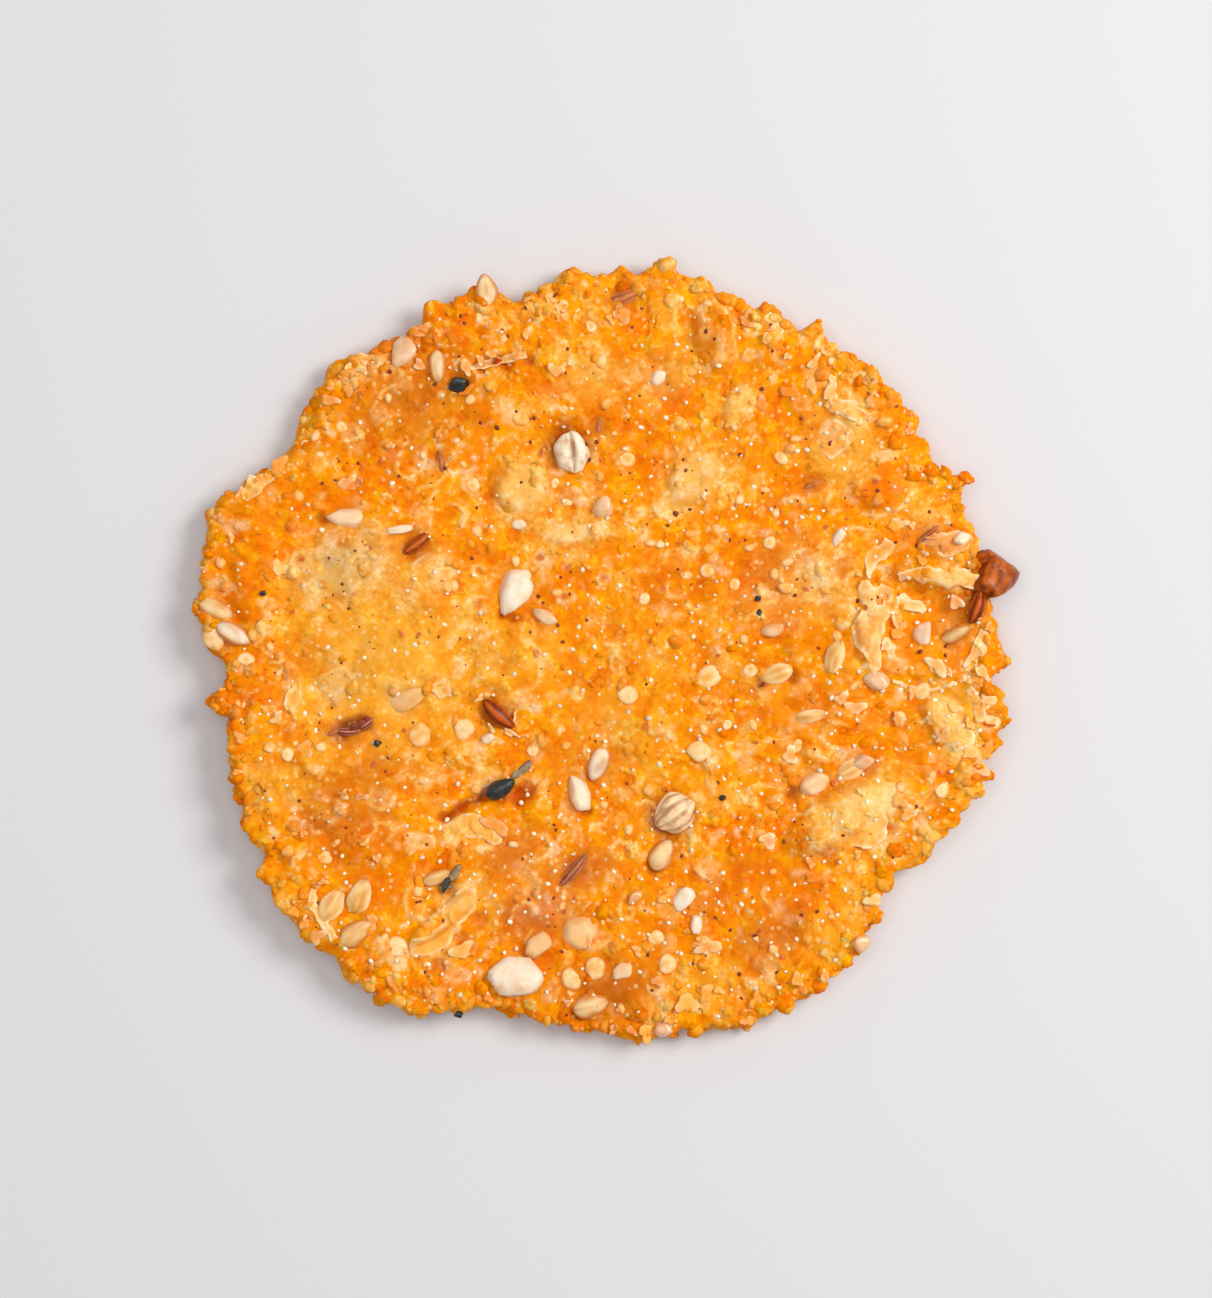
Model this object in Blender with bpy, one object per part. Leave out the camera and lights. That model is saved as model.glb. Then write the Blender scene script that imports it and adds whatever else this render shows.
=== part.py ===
"""Rice flour cracker: one fried disc of spiced rice dough, lying on its back with the seeded face up.

The crust is a block cut into cells, rounded to the cracker's outline and given its relief. The seeds
and nut pieces that lie in its face are joined to it, so the whole cracker is one solid.
The origin is under the middle of the cracker, on the surface that it lies on.
"""

import math

import bmesh
import bpy
import numpy as np
from mathutils import Matrix, Vector

MM = 0.001

# Driving dimensions, in millimetres
THICKNESS = 2.6  # of the sheet of dough, before blisters
RIM_BULGE = 0.9  # how far the edge rounds out past the face
RIM_LIFT = 0.95  # mean height of the edge above the surface that the cracker lies on
FLAT_SPOT = 6.0  # radius of the plain spot in the middle of the underside
HOLLOW_DEPTH = 0.55  # of the hollows between the low spots of the underside
LOW_SPOT = 0.04  # height under which the underside counts as lying flat
FLAT_SHARE = 0.5  # share of the radius within which the sheet doesn't lift

# The mesh: cells across the block before it is thinned, rows round the edge, and triangles kept
CELLS = 104
RIM_ROWS = 4
CRUST_TRIANGLES = 9100

# Smooth outline: (degrees anticlockwise from the right, radius in mm)
OUTLINE = (
    (2, 32.7), (14, 32.4), (30, 31.7), (45, 32.6), (60, 31.7), (72, 31.5), (90, 32.1), (104, 31.2),
    (114, 32.5), (123, 31.9), (134, 33.0), (148, 31.9), (160, 35.3), (174, 34.6), (183, 32.2),
    (193, 32.7), (205, 33.8), (220, 34.6), (241, 34.4), (252, 31.4), (266, 32.0), (282, 32.9),
    (298, 33.4), (309, 32.9), (320, 30.7), (331, 32.2), (341, 33.4), (352, 33.7),
)
# Lobes of dough that stand out of the edge, and notches in it: (degrees, height in mm, width in degrees)
LOBES = (
    (26, 1.5, 1.8), (57, 0.6, 1.6), (64, 0.5, 1.6), (75, 0.9, 1.4), (82, 1.6, 2.2), (96, 0.5, 2.0),
    (105, -0.5, 1.3), (109, 0.8, 2.0), (178, 0.6, 2.0), (187, 1.5, 2.2), (210, -0.7, 1.3),
    (227, -0.5, 1.5), (290, 0.6, 1.6), (344, -0.8, 1.3), (356, -0.9, 1.4), (359, 0.7, 1.4),
)
CRAGS = 0.28  # mm, random crags between the lobes

# Blisters and folds of skin: (x, y, long radius, short radius, turn in degrees, height), all in mm
BLISTERS = (
    (-19.9, 4.3, 9.5, 8.3, 100, 0.75),
    (-8.6, -0.7, 3.2, 2.8, 0, 0.5),
    (-7.3, 14.1, 2.7, 2.3, 30, 0.5),
    (-2.0, 10.3, 3.6, 1.6, 5, 0.35),
    (7.3, 14.6, 3.0, 2.4, 40, 0.45),
    (8.9, 26.6, 3.3, 2.0, 100, 0.6),
    (11.1, 20.5, 2.4, 1.4, 60, 0.4),
    (23.3, 14.2, 3.4, 2.7, 20, 0.55),
    (16.7, 8.4, 5.0, 4.0, 0, 0.4),
    (19.0, -13.9, 5.4, 2.4, 35, 1.0),
    (-13.9, -22.3, 3.9, 1.1, 38, 0.8),
    (28.5, 9.1, 2.7, 1.4, 15, 0.55),
    (28.1, -6.0, 2.8, 1.3, -50, 0.55),
    (-29.5, 6.0, 6.5, 2.4, 95, 0.5),
    (-20.5, -13.0, 7.0, 5.0, 130, 0.4),
    (15.0, -23.5, 5.5, 4.0, 40, 0.4),
    (27.1, 6.6, 4.1, 1.2, -8, 0.6),
    (21.9, 2.3, 4.2, 1.2, 92, 0.5),
)
TORN_PATCH = (26.3, 2.6, 4.0, 3.6, 0, -0.9)  # where the skin has come off
# Cracks in the face: (x, y) to (x, y), width and depth, in mm
CRACKS = (
    ((-14.6, -14.4), (-9.6, -11.5), 0.7, 0.9),
    ((-11.6, 24.1), (-8.0, 24.9), 0.6, 0.7),
)

# Toppings fused to the face: (x, y) in mm and the turn of the long side in degrees
SESAME = (
    (-33.0, 3.7, -26), (-31.5, 1.6, -30), (-14.4, 24.1, 92), (-0.9, -9.4, 75), (4.5, -17.0, 60),
    (-23.2, -21.1, 60), (-20.9, -20.3, 70), (-21.2, -23.6, 35), (-14.4, -18.9, 20), (-1.5, -29.7, 15),
    (19.1, -0.2, 72), (14.1, -1.8, 20), (17.1, -5.3, 10), (29.3, 1.6, 25), (20.6, -9.7, 30),
    (-10.3, 30.4, 100),
)
CUMIN = (
    (-9.3, -5.3, -45), (-2.8, -18.4, 47), (-19.7, -6.2, 15), (-14.1, 9.4, 35), (1.3, 29.9, 20),
    (30.8, 3.9, 75),
)
CORIANDER = ((-3.1, 16.8, 100), (5.6, -13.3, 30))
# Seeds of a kind: length, width and depth in mm, and how much slimmer the far end is
SESAME_SIZE = (3.2, 1.8, 1.1, 0.5)
CUMIN_SIZE = (4.0, 1.2, 1.2, 0.25)
CORIANDER_SIZE = (3.3, 3.1, 2.0, 0.1)
SEED_SPREAD = 0.1  # share by which seeds of a kind differ in size
# Broken pieces: (x, y, turn in degrees, length, width, depth)
NUTS = (
    (-7.7, 5.2, 75, 4.1, 3.0, 1.8), (-7.7, -27.1, -8, 4.7, 3.7, 2.0), (-22.0, 11.3, 8, 3.2, 1.8, 1.3),
    (-2.4, -11.8, 105, 3.2, 1.8, 1.3), (17.3, -11.1, 30, 2.9, 2.1, 1.4), (-5.8, -24.6, 35, 2.6, 1.7, 1.2),
    (-17.1, 25.4, 60, 2.5, 2.0, 1.1), (-2.6, -23.5, 0, 3.0, 2.8, 1.5), (1.1, -24.7, 60, 2.8, 2.5, 1.4),
    (26.5, 1.6, 80, 2.0, 1.3, 1.2), (6.5, -21.0, 20, 2.4, 1.5, 1.1),
)
BLACK_CHIPS = ((-9.0, -11.4, 30, 2.5, 1.4, 1.2), (-12.6, 22.6, 20, 1.4, 1.2, 1.0))
HUSK_CHIPS = ((32.4, 6.4, 60, 4.2, 3.6, 2.4),)
SUNK = 0.12  # share of a topping's depth that its middle lies above the face
RIM_DROP = 0.6  # mm that a topping set in the rounded edge lies below the face

# Base colour and roughness of each finish
FINISHES = {
    "fried rice dough": ((0.85, 0.30, 0.045), 0.55),
    "toasted sesame": ((0.72, 0.52, 0.30), 0.45),
    "cumin": ((0.23, 0.07, 0.03), 0.5),
    "coriander": ((0.70, 0.46, 0.20), 0.5),
    "nut": ((0.86, 0.70, 0.46), 0.45),
    "black seed": ((0.02, 0.025, 0.022), 0.3),
    "seed husk": ((0.35, 0.10, 0.02), 0.3),
}


def gradient_noise(points, cell, seed):
    """Smooth noise from about -1 to 1 that turns over once in each cell, read at rows of x, y, z in mm."""
    draw = np.random.default_rng(seed)
    order = np.tile(draw.permutation(256), 2)
    slopes = draw.normal(size=(256, 3))
    slopes /= np.linalg.norm(slopes, axis=1)[:, None]
    place = np.asarray(points, float) / cell
    corner = np.floor(place).astype(int)
    inside = place - corner
    ease = inside**3 * (inside * (inside * 6 - 15) + 10)
    total = np.zeros(len(place))
    for step in np.ndindex(2, 2, 2):
        lattice = (corner + step) & 255
        pick = order[order[order[lattice[:, 0]] + lattice[:, 1]] + lattice[:, 2]]
        weight = np.prod(np.where(step, ease, 1 - ease), axis=1)
        total += weight * np.einsum("ij,ij->i", slopes[pick], inside - step)
    return total * 1.6


def flat_points(x, y, level=0.0):
    return np.stack([x, y, np.full_like(x, level)], axis=1)


def outline_radius(angle):
    """Radius of the edge in mm at each angle in radians: a smooth closed curve, its lobes and its crags."""
    degrees = np.degrees(angle) % 360
    knots, radii = np.array(OUTLINE, float).T
    knots = np.concatenate([knots[-2:] - 360, knots, knots[:2] + 360])
    radii = np.concatenate([radii[-2:], radii, radii[:2]])
    slope = (radii[2:] - radii[:-2]) / (knots[2:] - knots[:-2])
    at = np.searchsorted(knots, degrees, side="right") - 1
    span = knots[at + 1] - knots[at]
    t = (degrees - knots[at]) / span
    smooth = (
        (1 + 2 * t) * (1 - t) ** 2 * radii[at]
        + t * (1 - t) ** 2 * span * slope[at - 1]
        + t**2 * (3 - 2 * t) * radii[at + 1]
        + t**2 * (t - 1) * span * slope[at]
    )
    for middle, height, width in LOBES:
        away = (degrees - middle + 180) % 360 - 180
        smooth = smooth + height * np.exp(-((away / width) ** 2))
    edge = flat_points(33 * np.cos(angle), 33 * np.sin(angle))
    crags = gradient_noise(edge, 2.2, 11) + 0.6 * gradient_noise(edge, 1.1, 12)
    return smooth + CRAGS * crags


def dome(x, y, blister):
    """Height of one blister: a bump with a flat top and a steep foot, on a turned ellipse."""
    middle_x, middle_y, long_radius, short_radius, turn, height = blister
    c, s = math.cos(math.radians(turn)), math.sin(math.radians(turn))
    along = ((x - middle_x) * c + (y - middle_y) * s) / long_radius
    across = ((y - middle_y) * c - (x - middle_x) * s) / short_radius
    inside = np.clip(1 - (along**2 + across**2) ** 1.5, 0, 1)
    return height * inside * inside * (3 - 2 * inside)


def groove(x, y, crack):
    """Depth of one crack: a V along a straight run, that fades at its ends."""
    (x0, y0), (x1, y1), width, depth = crack
    run = np.array([x1 - x0, y1 - y0])
    length = np.linalg.norm(run)
    along = ((x - x0) * run[0] + (y - y0) * run[1]) / length**2
    across = np.abs((x - x0) * run[1] - (y - y0) * run[0]) / length
    fade = np.clip(4 * along * (1 - along), 0, 1) ** 0.5
    return -depth * fade * np.clip(1 - across / width, 0, 1)


def face_relief(x, y):
    """Height of the seeded face above a plain sheet, in mm."""
    flat = flat_points(x, y)
    height = 0.32 * gradient_noise(flat, 9.0, 21)
    height += 0.30 * np.abs(gradient_noise(flat, 3.6, 22))
    height += 0.16 * gradient_noise(flat, 1.7, 23)
    for blister in BLISTERS:
        height = height + dome(x, y, blister)
    height += dome(x, y, TORN_PATCH)
    for crack in CRACKS:
        height = height + groove(x, y, crack)
    return height


def warp_height(x, y):
    """Height in mm by which the sheet lifts towards its edge, more on some sides than on others."""
    angle = np.arctan2(y, x)
    share = np.hypot(x, y) / outline_radius(angle)
    rise = np.clip((share - FLAT_SHARE) / (1 - FLAT_SHARE), 0, 1)
    wave = 1 + 0.45 * np.cos(2 * angle - 0.7) + 0.3 * np.cos(3 * angle + 1.2)
    return RIM_LIFT * wave * rise**1.6


def underside_height(x, y):
    """Height of the underside, in mm: low spots that lie flat, and hollows between them."""
    flat = flat_points(x, y, 50.0)
    hollow = np.clip(gradient_noise(flat, 7.0, 24) + 0.5 * gradient_noise(flat, 3.0, 25), 0, 1)
    away = np.clip((np.hypot(x, y) - FLAT_SPOT) / 3, 0, 1)
    return warp_height(x, y) + HOLLOW_DEPTH * hollow * away


def face_height(x, y):
    """Height of the seeded face, in mm. The sheet thins a little towards its edge."""
    share = np.hypot(x, y) / outline_radius(np.arctan2(y, x))
    edge = 1 - np.clip((share - 0.86) / 0.14, 0, 1) ** 2
    sheet = THICKNESS * (0.82 + 0.18 * edge)
    return warp_height(x, y) + sheet + face_relief(x, y) * (0.55 + 0.45 * edge)


def disc_from_square(u, v):
    """Moves the points of a square from -1 to 1 onto the unit disc, ring by ring, with even cells."""
    ring = np.maximum(np.abs(u), np.abs(v))
    wide = np.abs(u) >= np.abs(v)
    safe = np.where(ring < 1e-9, 1.0, np.where(wide, u, v))
    turn = np.where(wide, v, u) / safe * math.pi / 4
    angle = np.where(wide, turn, math.pi / 2 - turn)
    radius = np.where(wide, u, v)
    return radius * np.cos(angle), radius * np.sin(angle)


def cut_block():
    """A cube 2 across, with its top and bottom cut into CELLS squares each way and its sides into rows."""
    mesh = bmesh.new()
    bmesh.ops.create_cube(mesh, size=2.0)
    upright = [e for e in mesh.edges if abs(e.verts[0].co.z - e.verts[1].co.z) > 1]
    bmesh.ops.subdivide_edges(mesh, edges=upright, cuts=RIM_ROWS - 1, use_grid_fill=True)
    level = [e for e in mesh.edges if abs(e.verts[0].co.z - e.verts[1].co.z) < 0.01]
    bmesh.ops.subdivide_edges(mesh, edges=level, cuts=CELLS - 1, use_grid_fill=True)
    return mesh


def crust_places(block):
    """Where each point of the cut block goes on the cracker, in mm."""
    u, v, level = block.T
    x, y = disc_from_square(u, v)
    angle = np.arctan2(y, x)
    edge = outline_radius(angle)
    on_side = np.isclose(np.maximum(np.abs(u), np.abs(v)), 1.0)
    inner = edge - RIM_BULGE
    x, y = x * inner, y * inner
    top, bottom = face_height(x, y), underside_height(x, y)
    height = np.where(level > 0.999, top, bottom)
    side_height = bottom + (top - bottom) * (0.5 + 0.5 * np.sin(level * math.pi / 2))
    bulge = RIM_BULGE * np.cos(level * math.pi / 2) ** 0.7
    height = np.where(on_side, side_height, height)
    x = np.where(on_side, x + bulge * np.cos(angle), x)
    y = np.where(on_side, y + bulge * np.sin(angle), y)
    rough = flat_points(x, y) + np.outer(height, [0, 0, 1.0])
    push = 0.3 * gradient_noise(rough, 1.6, 31) * on_side
    return np.stack([x + push * np.cos(angle), y + push * np.sin(angle), height], axis=1)


def finish_material(name):
    colour, roughness = FINISHES[name]
    material = bpy.data.materials.new(name)
    material.use_nodes = True
    shader = material.node_tree.nodes["Principled BSDF"]
    shader.inputs["Base Color"].default_value = (*colour, 1)
    shader.inputs["Roughness"].default_value = roughness
    shader.inputs["Metallic"].default_value = 0.0
    return material


def new_object(name, mesh, collection, material):
    data = bpy.data.meshes.new(name)
    mesh.to_mesh(data)
    mesh.free()
    data.materials.append(material)
    item = bpy.data.objects.new(name, data)
    collection.objects.link(item)
    return item


def applied(item):
    """The object with its modifiers worked into its mesh."""
    bpy.context.view_layer.update()
    graph = bpy.context.evaluated_depsgraph_get()
    data = bpy.data.meshes.new_from_object(item.evaluated_get(graph))
    item.modifiers.clear()
    item.data = data
    return item


def make_crust(collection):
    mesh = cut_block()
    block = np.array([vertex.co for vertex in mesh.verts])
    for vertex, place in zip(mesh.verts, crust_places(block)):
        vertex.co = Vector(place) * MM
    bmesh.ops.triangulate(mesh, faces=mesh.faces)
    full = len(mesh.faces)
    crust = new_object("cracker", mesh, collection, finish_material("fried rice dough"))
    thinning = crust.modifiers.new("Keep the relief with fewer faces", "DECIMATE")
    thinning.ratio = CRUST_TRIANGLES / full
    return lying_flat(applied(crust))


def lying_flat(crust):
    """The crust with the low spots of its underside all on one level."""
    for vertex in crust.data.vertices:
        if vertex.co.z < LOW_SPOT * MM:
            vertex.co.z = 0.0
    return crust


def lay_on_face(mesh, x, y, turn, depth):
    """Turns a topping and sets it in the face at x, y, with its middle a little above the crust."""
    angle = np.array([math.atan2(y, x)])
    reach = min(math.hypot(x, y), float(outline_radius(angle)[0]) - RIM_BULGE)
    level = float(face_height(reach * np.cos(angle), reach * np.sin(angle))[0]) + SUNK * depth
    if math.hypot(x, y) > reach:
        level -= RIM_DROP
    place = Matrix.Translation(Vector((x, y, level)) * MM) @ Matrix.Rotation(math.radians(turn), 4, "Z")
    bmesh.ops.transform(mesh, matrix=place, verts=mesh.verts)


def seed_shape(length, width, depth, taper):
    """A seed with few sides, pointed towards +X by the taper."""
    mesh = bmesh.new()
    bmesh.ops.create_uvsphere(mesh, u_segments=6, v_segments=4, radius=1.0)
    bmesh.ops.rotate(mesh, matrix=Matrix.Rotation(math.pi / 2, 3, "Y"), verts=mesh.verts)
    for vertex in mesh.verts:
        slim = 1 - taper * (vertex.co.x + 1) / 2
        vertex.co.y *= width / 2 * slim * MM
        vertex.co.z *= depth / 2 * slim * MM
        vertex.co.x *= length / 2 * MM
    return mesh


def chip_shape(length, width, depth):
    """A broken piece of nut: a block with its corners pulled in unevenly."""
    mesh = bmesh.new()
    bmesh.ops.create_icosphere(mesh, subdivisions=1, radius=1.0)
    for vertex in mesh.verts:
        corner = 1.12 + 0.12 * math.sin(7 * vertex.co.x + 3 * vertex.co.y)
        vertex.co = Vector((
            max(-1, min(1, vertex.co.x * corner)) * length / 2 * MM,
            max(-1, min(1, vertex.co.y * corner)) * width / 2 * MM,
            vertex.co.z * depth / 2 * MM,
        ))
    return mesh


def make_seeds(kind, finish, places, size, draw, collection):
    """Seeds of one kind, each a little larger or smaller than the size given."""
    *sides, taper = size
    material = finish_material(finish)
    for number, (x, y, turn) in enumerate(places):
        length, width, depth = np.array(sides) * (1 + SEED_SPREAD * draw.uniform(-1, 1))
        mesh = seed_shape(length, width, depth, taper)
        lay_on_face(mesh, x, y, turn, depth)
        new_object(f"{kind}_{number}", mesh, collection, material)


def make_chips(kind, finish, places, collection):
    material = finish_material(finish)
    for number, (x, y, turn, length, width, depth) in enumerate(places):
        mesh = chip_shape(length, width, depth)
        lay_on_face(mesh, x, y, turn, depth)
        new_object(f"{kind}_{number}", mesh, collection, material)


def fuse(crust, toppings):
    """Joins the toppings to the crust, then removes them."""
    union = crust.modifiers.new("Toppings", "BOOLEAN")
    union.operation = "UNION"
    union.operand_type = "COLLECTION"
    union.collection = toppings
    union.solver = "MANIFOLD"
    union.material_mode = "TRANSFER"
    applied(crust)
    for item in list(toppings.objects):
        bpy.data.objects.remove(item)
    bpy.data.collections.remove(toppings)


def centre_on_origin(crust):
    """Moves the mesh so that the origin is under its middle."""
    corners = np.array([vertex.co for vertex in crust.data.vertices])
    low, high = corners.min(axis=0), corners.max(axis=0)
    shift = Vector((-(low[0] + high[0]) / 2, -(low[1] + high[1]) / 2, -low[2]))
    crust.data.transform(Matrix.Translation(shift))


def main():
    for item in list(bpy.data.objects):
        bpy.data.objects.remove(item)
    cracker = bpy.data.collections.new("rice flour cracker")
    toppings = bpy.data.collections.new("toppings")
    for collection in (cracker, toppings):
        bpy.context.scene.collection.children.link(collection)
    crust = make_crust(cracker)
    draw = np.random.default_rng(7)
    make_seeds("sesame", "toasted sesame", SESAME, SESAME_SIZE, draw, toppings)
    make_seeds("cumin", "cumin", CUMIN, CUMIN_SIZE, draw, toppings)
    make_seeds("coriander", "coriander", CORIANDER, CORIANDER_SIZE, draw, toppings)
    make_chips("nut", "nut", NUTS, toppings)
    make_chips("black_chip", "black seed", BLACK_CHIPS, toppings)
    make_chips("husk_chip", "seed husk", HUSK_CHIPS, toppings)
    fuse(crust, toppings)
    centre_on_origin(crust)


main()
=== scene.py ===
import math

import bpy
import numpy as np
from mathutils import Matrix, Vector


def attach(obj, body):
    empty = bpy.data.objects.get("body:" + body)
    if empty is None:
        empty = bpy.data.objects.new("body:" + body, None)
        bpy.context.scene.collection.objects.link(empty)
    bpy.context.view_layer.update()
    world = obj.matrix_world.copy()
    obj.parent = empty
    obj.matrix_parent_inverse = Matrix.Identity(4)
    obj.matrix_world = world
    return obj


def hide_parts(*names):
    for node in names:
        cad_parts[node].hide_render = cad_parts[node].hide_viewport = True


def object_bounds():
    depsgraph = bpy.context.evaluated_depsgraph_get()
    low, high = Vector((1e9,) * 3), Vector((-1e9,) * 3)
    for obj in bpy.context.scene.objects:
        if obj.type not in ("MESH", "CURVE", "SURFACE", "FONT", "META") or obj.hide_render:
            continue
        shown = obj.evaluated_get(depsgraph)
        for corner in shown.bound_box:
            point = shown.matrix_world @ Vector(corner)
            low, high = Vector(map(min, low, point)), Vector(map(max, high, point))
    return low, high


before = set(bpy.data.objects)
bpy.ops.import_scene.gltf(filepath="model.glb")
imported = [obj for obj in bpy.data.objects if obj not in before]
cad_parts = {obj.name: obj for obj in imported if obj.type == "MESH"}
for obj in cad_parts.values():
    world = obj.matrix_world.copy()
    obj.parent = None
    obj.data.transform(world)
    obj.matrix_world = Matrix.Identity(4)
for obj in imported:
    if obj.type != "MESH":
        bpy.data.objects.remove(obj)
solid_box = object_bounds()

# The crust
# One sheet of rice flour dough, pressed thin by hand and fried until it blisters and turns orange.
# Its face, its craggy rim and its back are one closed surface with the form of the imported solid.

MM = 0.001
DISC_CENTRE = (0.221, -0.344)  # where the middle of the pressed disc lies in the frame, in mm
THICKNESS = 2.6  # of the sheet of dough, before blisters
RIM_BULGE = 0.9  # how far the edge rounds out past the face
RIM_LIFT = 0.95  # mean height of the edge above the surface that the cracker lies on
FLAT_SPOT = 6.0  # radius of the plain spot in the middle of the back
HOLLOW_DEPTH = 0.55  # of the hollows between the low spots of the back
FLAT_SHARE = 0.5  # share of the radius within which the sheet doesn't lift
CRAGS = 0.28  # random crags of the outline
FACE_CELLS = 256  # squares across the face
RIM_ROWS = 12  # steps from the face round the rim to the back

# Smooth outline: (degrees anticlockwise from the right, radius in mm)
OUTLINE = (
    (2, 32.7), (14, 32.4), (30, 31.7), (45, 32.6), (60, 31.7), (72, 31.5), (90, 32.1), (104, 31.2),
    (114, 32.5), (123, 31.9), (134, 33), (148, 31.9), (160, 35.3), (174, 34.6), (183, 32.2), (193, 32.7),
    (205, 33.8), (220, 34.6), (241, 34.4), (252, 31.4), (266, 32), (282, 32.9), (298, 33.4), (309, 32.9),
    (320, 30.7), (331, 32.2), (341, 33.4), (352, 33.7),
)
# Lobes of dough that stand out of the edge, and notches in it: (degrees, height in mm, width in degrees)
LOBES = (
    (26, 1.5, 1.8), (57, 0.6, 1.6), (64, 0.5, 1.6), (75, 0.9, 1.4), (82, 1.6, 2.2), (96, 0.5, 2),
    (105, -0.5, 1.3), (109, 0.8, 2), (178, 0.6, 2), (187, 1.5, 2.2), (210, -0.7, 1.3), (227, -0.5, 1.5),
    (290, 0.6, 1.6), (344, -0.8, 1.3), (356, -0.9, 1.4), (359, 0.7, 1.4),
)
# Blisters and folds of skin: (x, y, long radius, short radius, turn in degrees, height), all in mm
BLISTERS = (
    (-19.9, 4.3, 9.5, 8.3, 100, 0.75), (-8.6, -0.7, 3.2, 2.8, 0, 0.5), (-7.3, 14.1, 2.7, 2.3, 30, 0.5),
    (-2, 10.3, 3.6, 1.6, 5, 0.35), (7.3, 14.6, 3, 2.4, 40, 0.45), (8.9, 26.6, 3.3, 2, 100, 0.6),
    (11.1, 20.5, 2.4, 1.4, 60, 0.4), (23.3, 14.2, 3.4, 2.7, 20, 0.55), (16.7, 8.4, 5, 4, 0, 0.4),
    (19, -13.9, 5.4, 2.4, 35, 1), (-13.9, -22.3, 3.9, 1.1, 38, 0.8), (28.5, 9.1, 2.7, 1.4, 15, 0.55),
    (28.1, -6, 2.8, 1.3, -50, 0.55), (-29.5, 6, 6.5, 2.4, 95, 0.5), (-20.5, -13, 7, 5, 130, 0.4),
    (15, -23.5, 5.5, 4, 40, 0.4), (27.1, 6.6, 4.1, 1.2, -8, 0.6), (21.9, 2.3, 4.2, 1.2, 92, 0.5),
)
TORN_PATCH = (26.3, 2.6, 4.0, 3.6, 0, -0.9)  # where the skin has come off
# Cracks in the face: (x, y) to (x, y), width and depth, in mm
CRACKS = (
    ((-14.6, -14.4), (-9.6, -11.5), 0.7, 0.9),
    ((-11.6, 24.1), (-8.0, 24.9), 0.6, 0.7),
)


def noise(points, cell, seed):
    """Smooth noise from about -1 to 1 that turns over once in each cell, read at rows of x, y, z in mm.

    Each corner of the lattice has a random slope. A point takes the heights of the eight slopes round it,
    weighted by the quintic ease of its place between them.
    """
    draw = np.random.default_rng(seed)
    order = np.tile(draw.permutation(256), 2)
    slopes = draw.normal(size=(256, 3))
    slopes /= np.linalg.norm(slopes, axis=1)[:, None]
    place = np.asarray(points, float) / cell
    corner = np.floor(place).astype(int)
    inside = place - corner
    ease = inside**3 * (inside * (inside * 6 - 15) + 10)
    total = np.zeros(len(place))
    for step in np.ndindex(2, 2, 2):
        lattice = (corner + step) & 255
        pick = order[order[order[lattice[:, 0]] + lattice[:, 1]] + lattice[:, 2]]
        weight = np.prod(np.where(step, ease, 1 - ease), axis=1)
        total += weight * np.einsum("ij,ij->i", slopes[pick], inside - step)
    return total * 1.6


def blend(first, second, share):
    """A value that goes from first to second by the share: first + (second - first) share."""
    return first + (second - first) * share


def clamp(value):
    """The value, held between 0 and 1."""
    return np.clip(value, 0, 1)


def flat_points(x, y, level=0.0):
    """Places as points at one level, in mm: (x, y, level)."""
    return np.stack([x, y, np.full_like(x, level)], axis=-1)


def outline_radius(angle):
    """Radius of the edge in mm at each angle: a cubic through the outline's points, with lobes and crags."""
    degrees = np.degrees(angle) % 360
    knots, radii = np.array(OUTLINE, float).T
    knots = np.concatenate([knots[-2:] - 360, knots, knots[:2] + 360])
    radii = np.concatenate([radii[-2:], radii, radii[:2]])
    slope = (radii[2:] - radii[:-2]) / (knots[2:] - knots[:-2])
    at = np.searchsorted(knots, degrees, side="right") - 1
    span = knots[at + 1] - knots[at]
    t = (degrees - knots[at]) / span
    smooth = (
        (1 + 2 * t) * (1 - t) ** 2 * radii[at]
        + t * (1 - t) ** 2 * span * slope[at - 1]
        + t**2 * (3 - 2 * t) * radii[at + 1]
        + t**2 * (t - 1) * span * slope[at]
    )
    for middle, height, width in LOBES:
        away = (degrees - middle + 180) % 360 - 180
        smooth = smooth + height * np.exp(-((away / width) ** 2))
    edge = flat_points(33 * np.cos(angle), 33 * np.sin(angle))
    crags = noise(edge, 2.2, 11) + 0.6 * noise(edge, 1.1, 12)
    return smooth + CRAGS * crags


def ellipse_reach(x, y, middle_x, middle_y, long_radius, short_radius, turn):
    """Distance from the middle of a turned ellipse, as a share of its radius."""
    c, s = math.cos(math.radians(turn)), math.sin(math.radians(turn))
    along = ((x - middle_x) * c + (y - middle_y) * s) / long_radius
    across = ((y - middle_y) * c - (x - middle_x) * s) / short_radius
    return np.hypot(along, across)


def dome(x, y, blister):
    """Height of one blister: a bump with a flat top and a steep foot, on a turned ellipse."""
    *ellipse, height = blister
    inside = clamp(1 - ellipse_reach(x, y, *ellipse) ** 3)
    return height * inside * inside * (3 - 2 * inside)


def groove(x, y, crack):
    """Depth of one crack: a V along a straight run, that fades at its ends."""
    (x0, y0), (x1, y1), width, depth = crack
    run = np.array([x1 - x0, y1 - y0])
    length = np.linalg.norm(run)
    along = ((x - x0) * run[0] + (y - y0) * run[1]) / length**2
    across = np.abs((x - x0) * run[1] - (y - y0) * run[0]) / length
    fade = clamp(4 * along * (1 - along)) ** 0.5
    return -depth * fade * clamp(1 - across / width)


def face_relief(x, y):
    """Height in mm of the swells, blisters, folds and cracks of the face above a plain sheet."""
    flat = flat_points(x, y)
    height = 0.32 * noise(flat, 9.0, 21)
    height += 0.30 * np.abs(noise(flat, 3.6, 22))
    height += 0.16 * noise(flat, 1.7, 23)
    for blister in BLISTERS:
        height = height + dome(x, y, blister)
    height += dome(x, y, TORN_PATCH)
    for crack in CRACKS:
        height = height + groove(x, y, crack)
    return height


def edge_share(x, y):
    """How far out each place lies, as a share of the outline's radius there."""
    return np.hypot(x, y) / outline_radius(np.arctan2(y, x))


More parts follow.
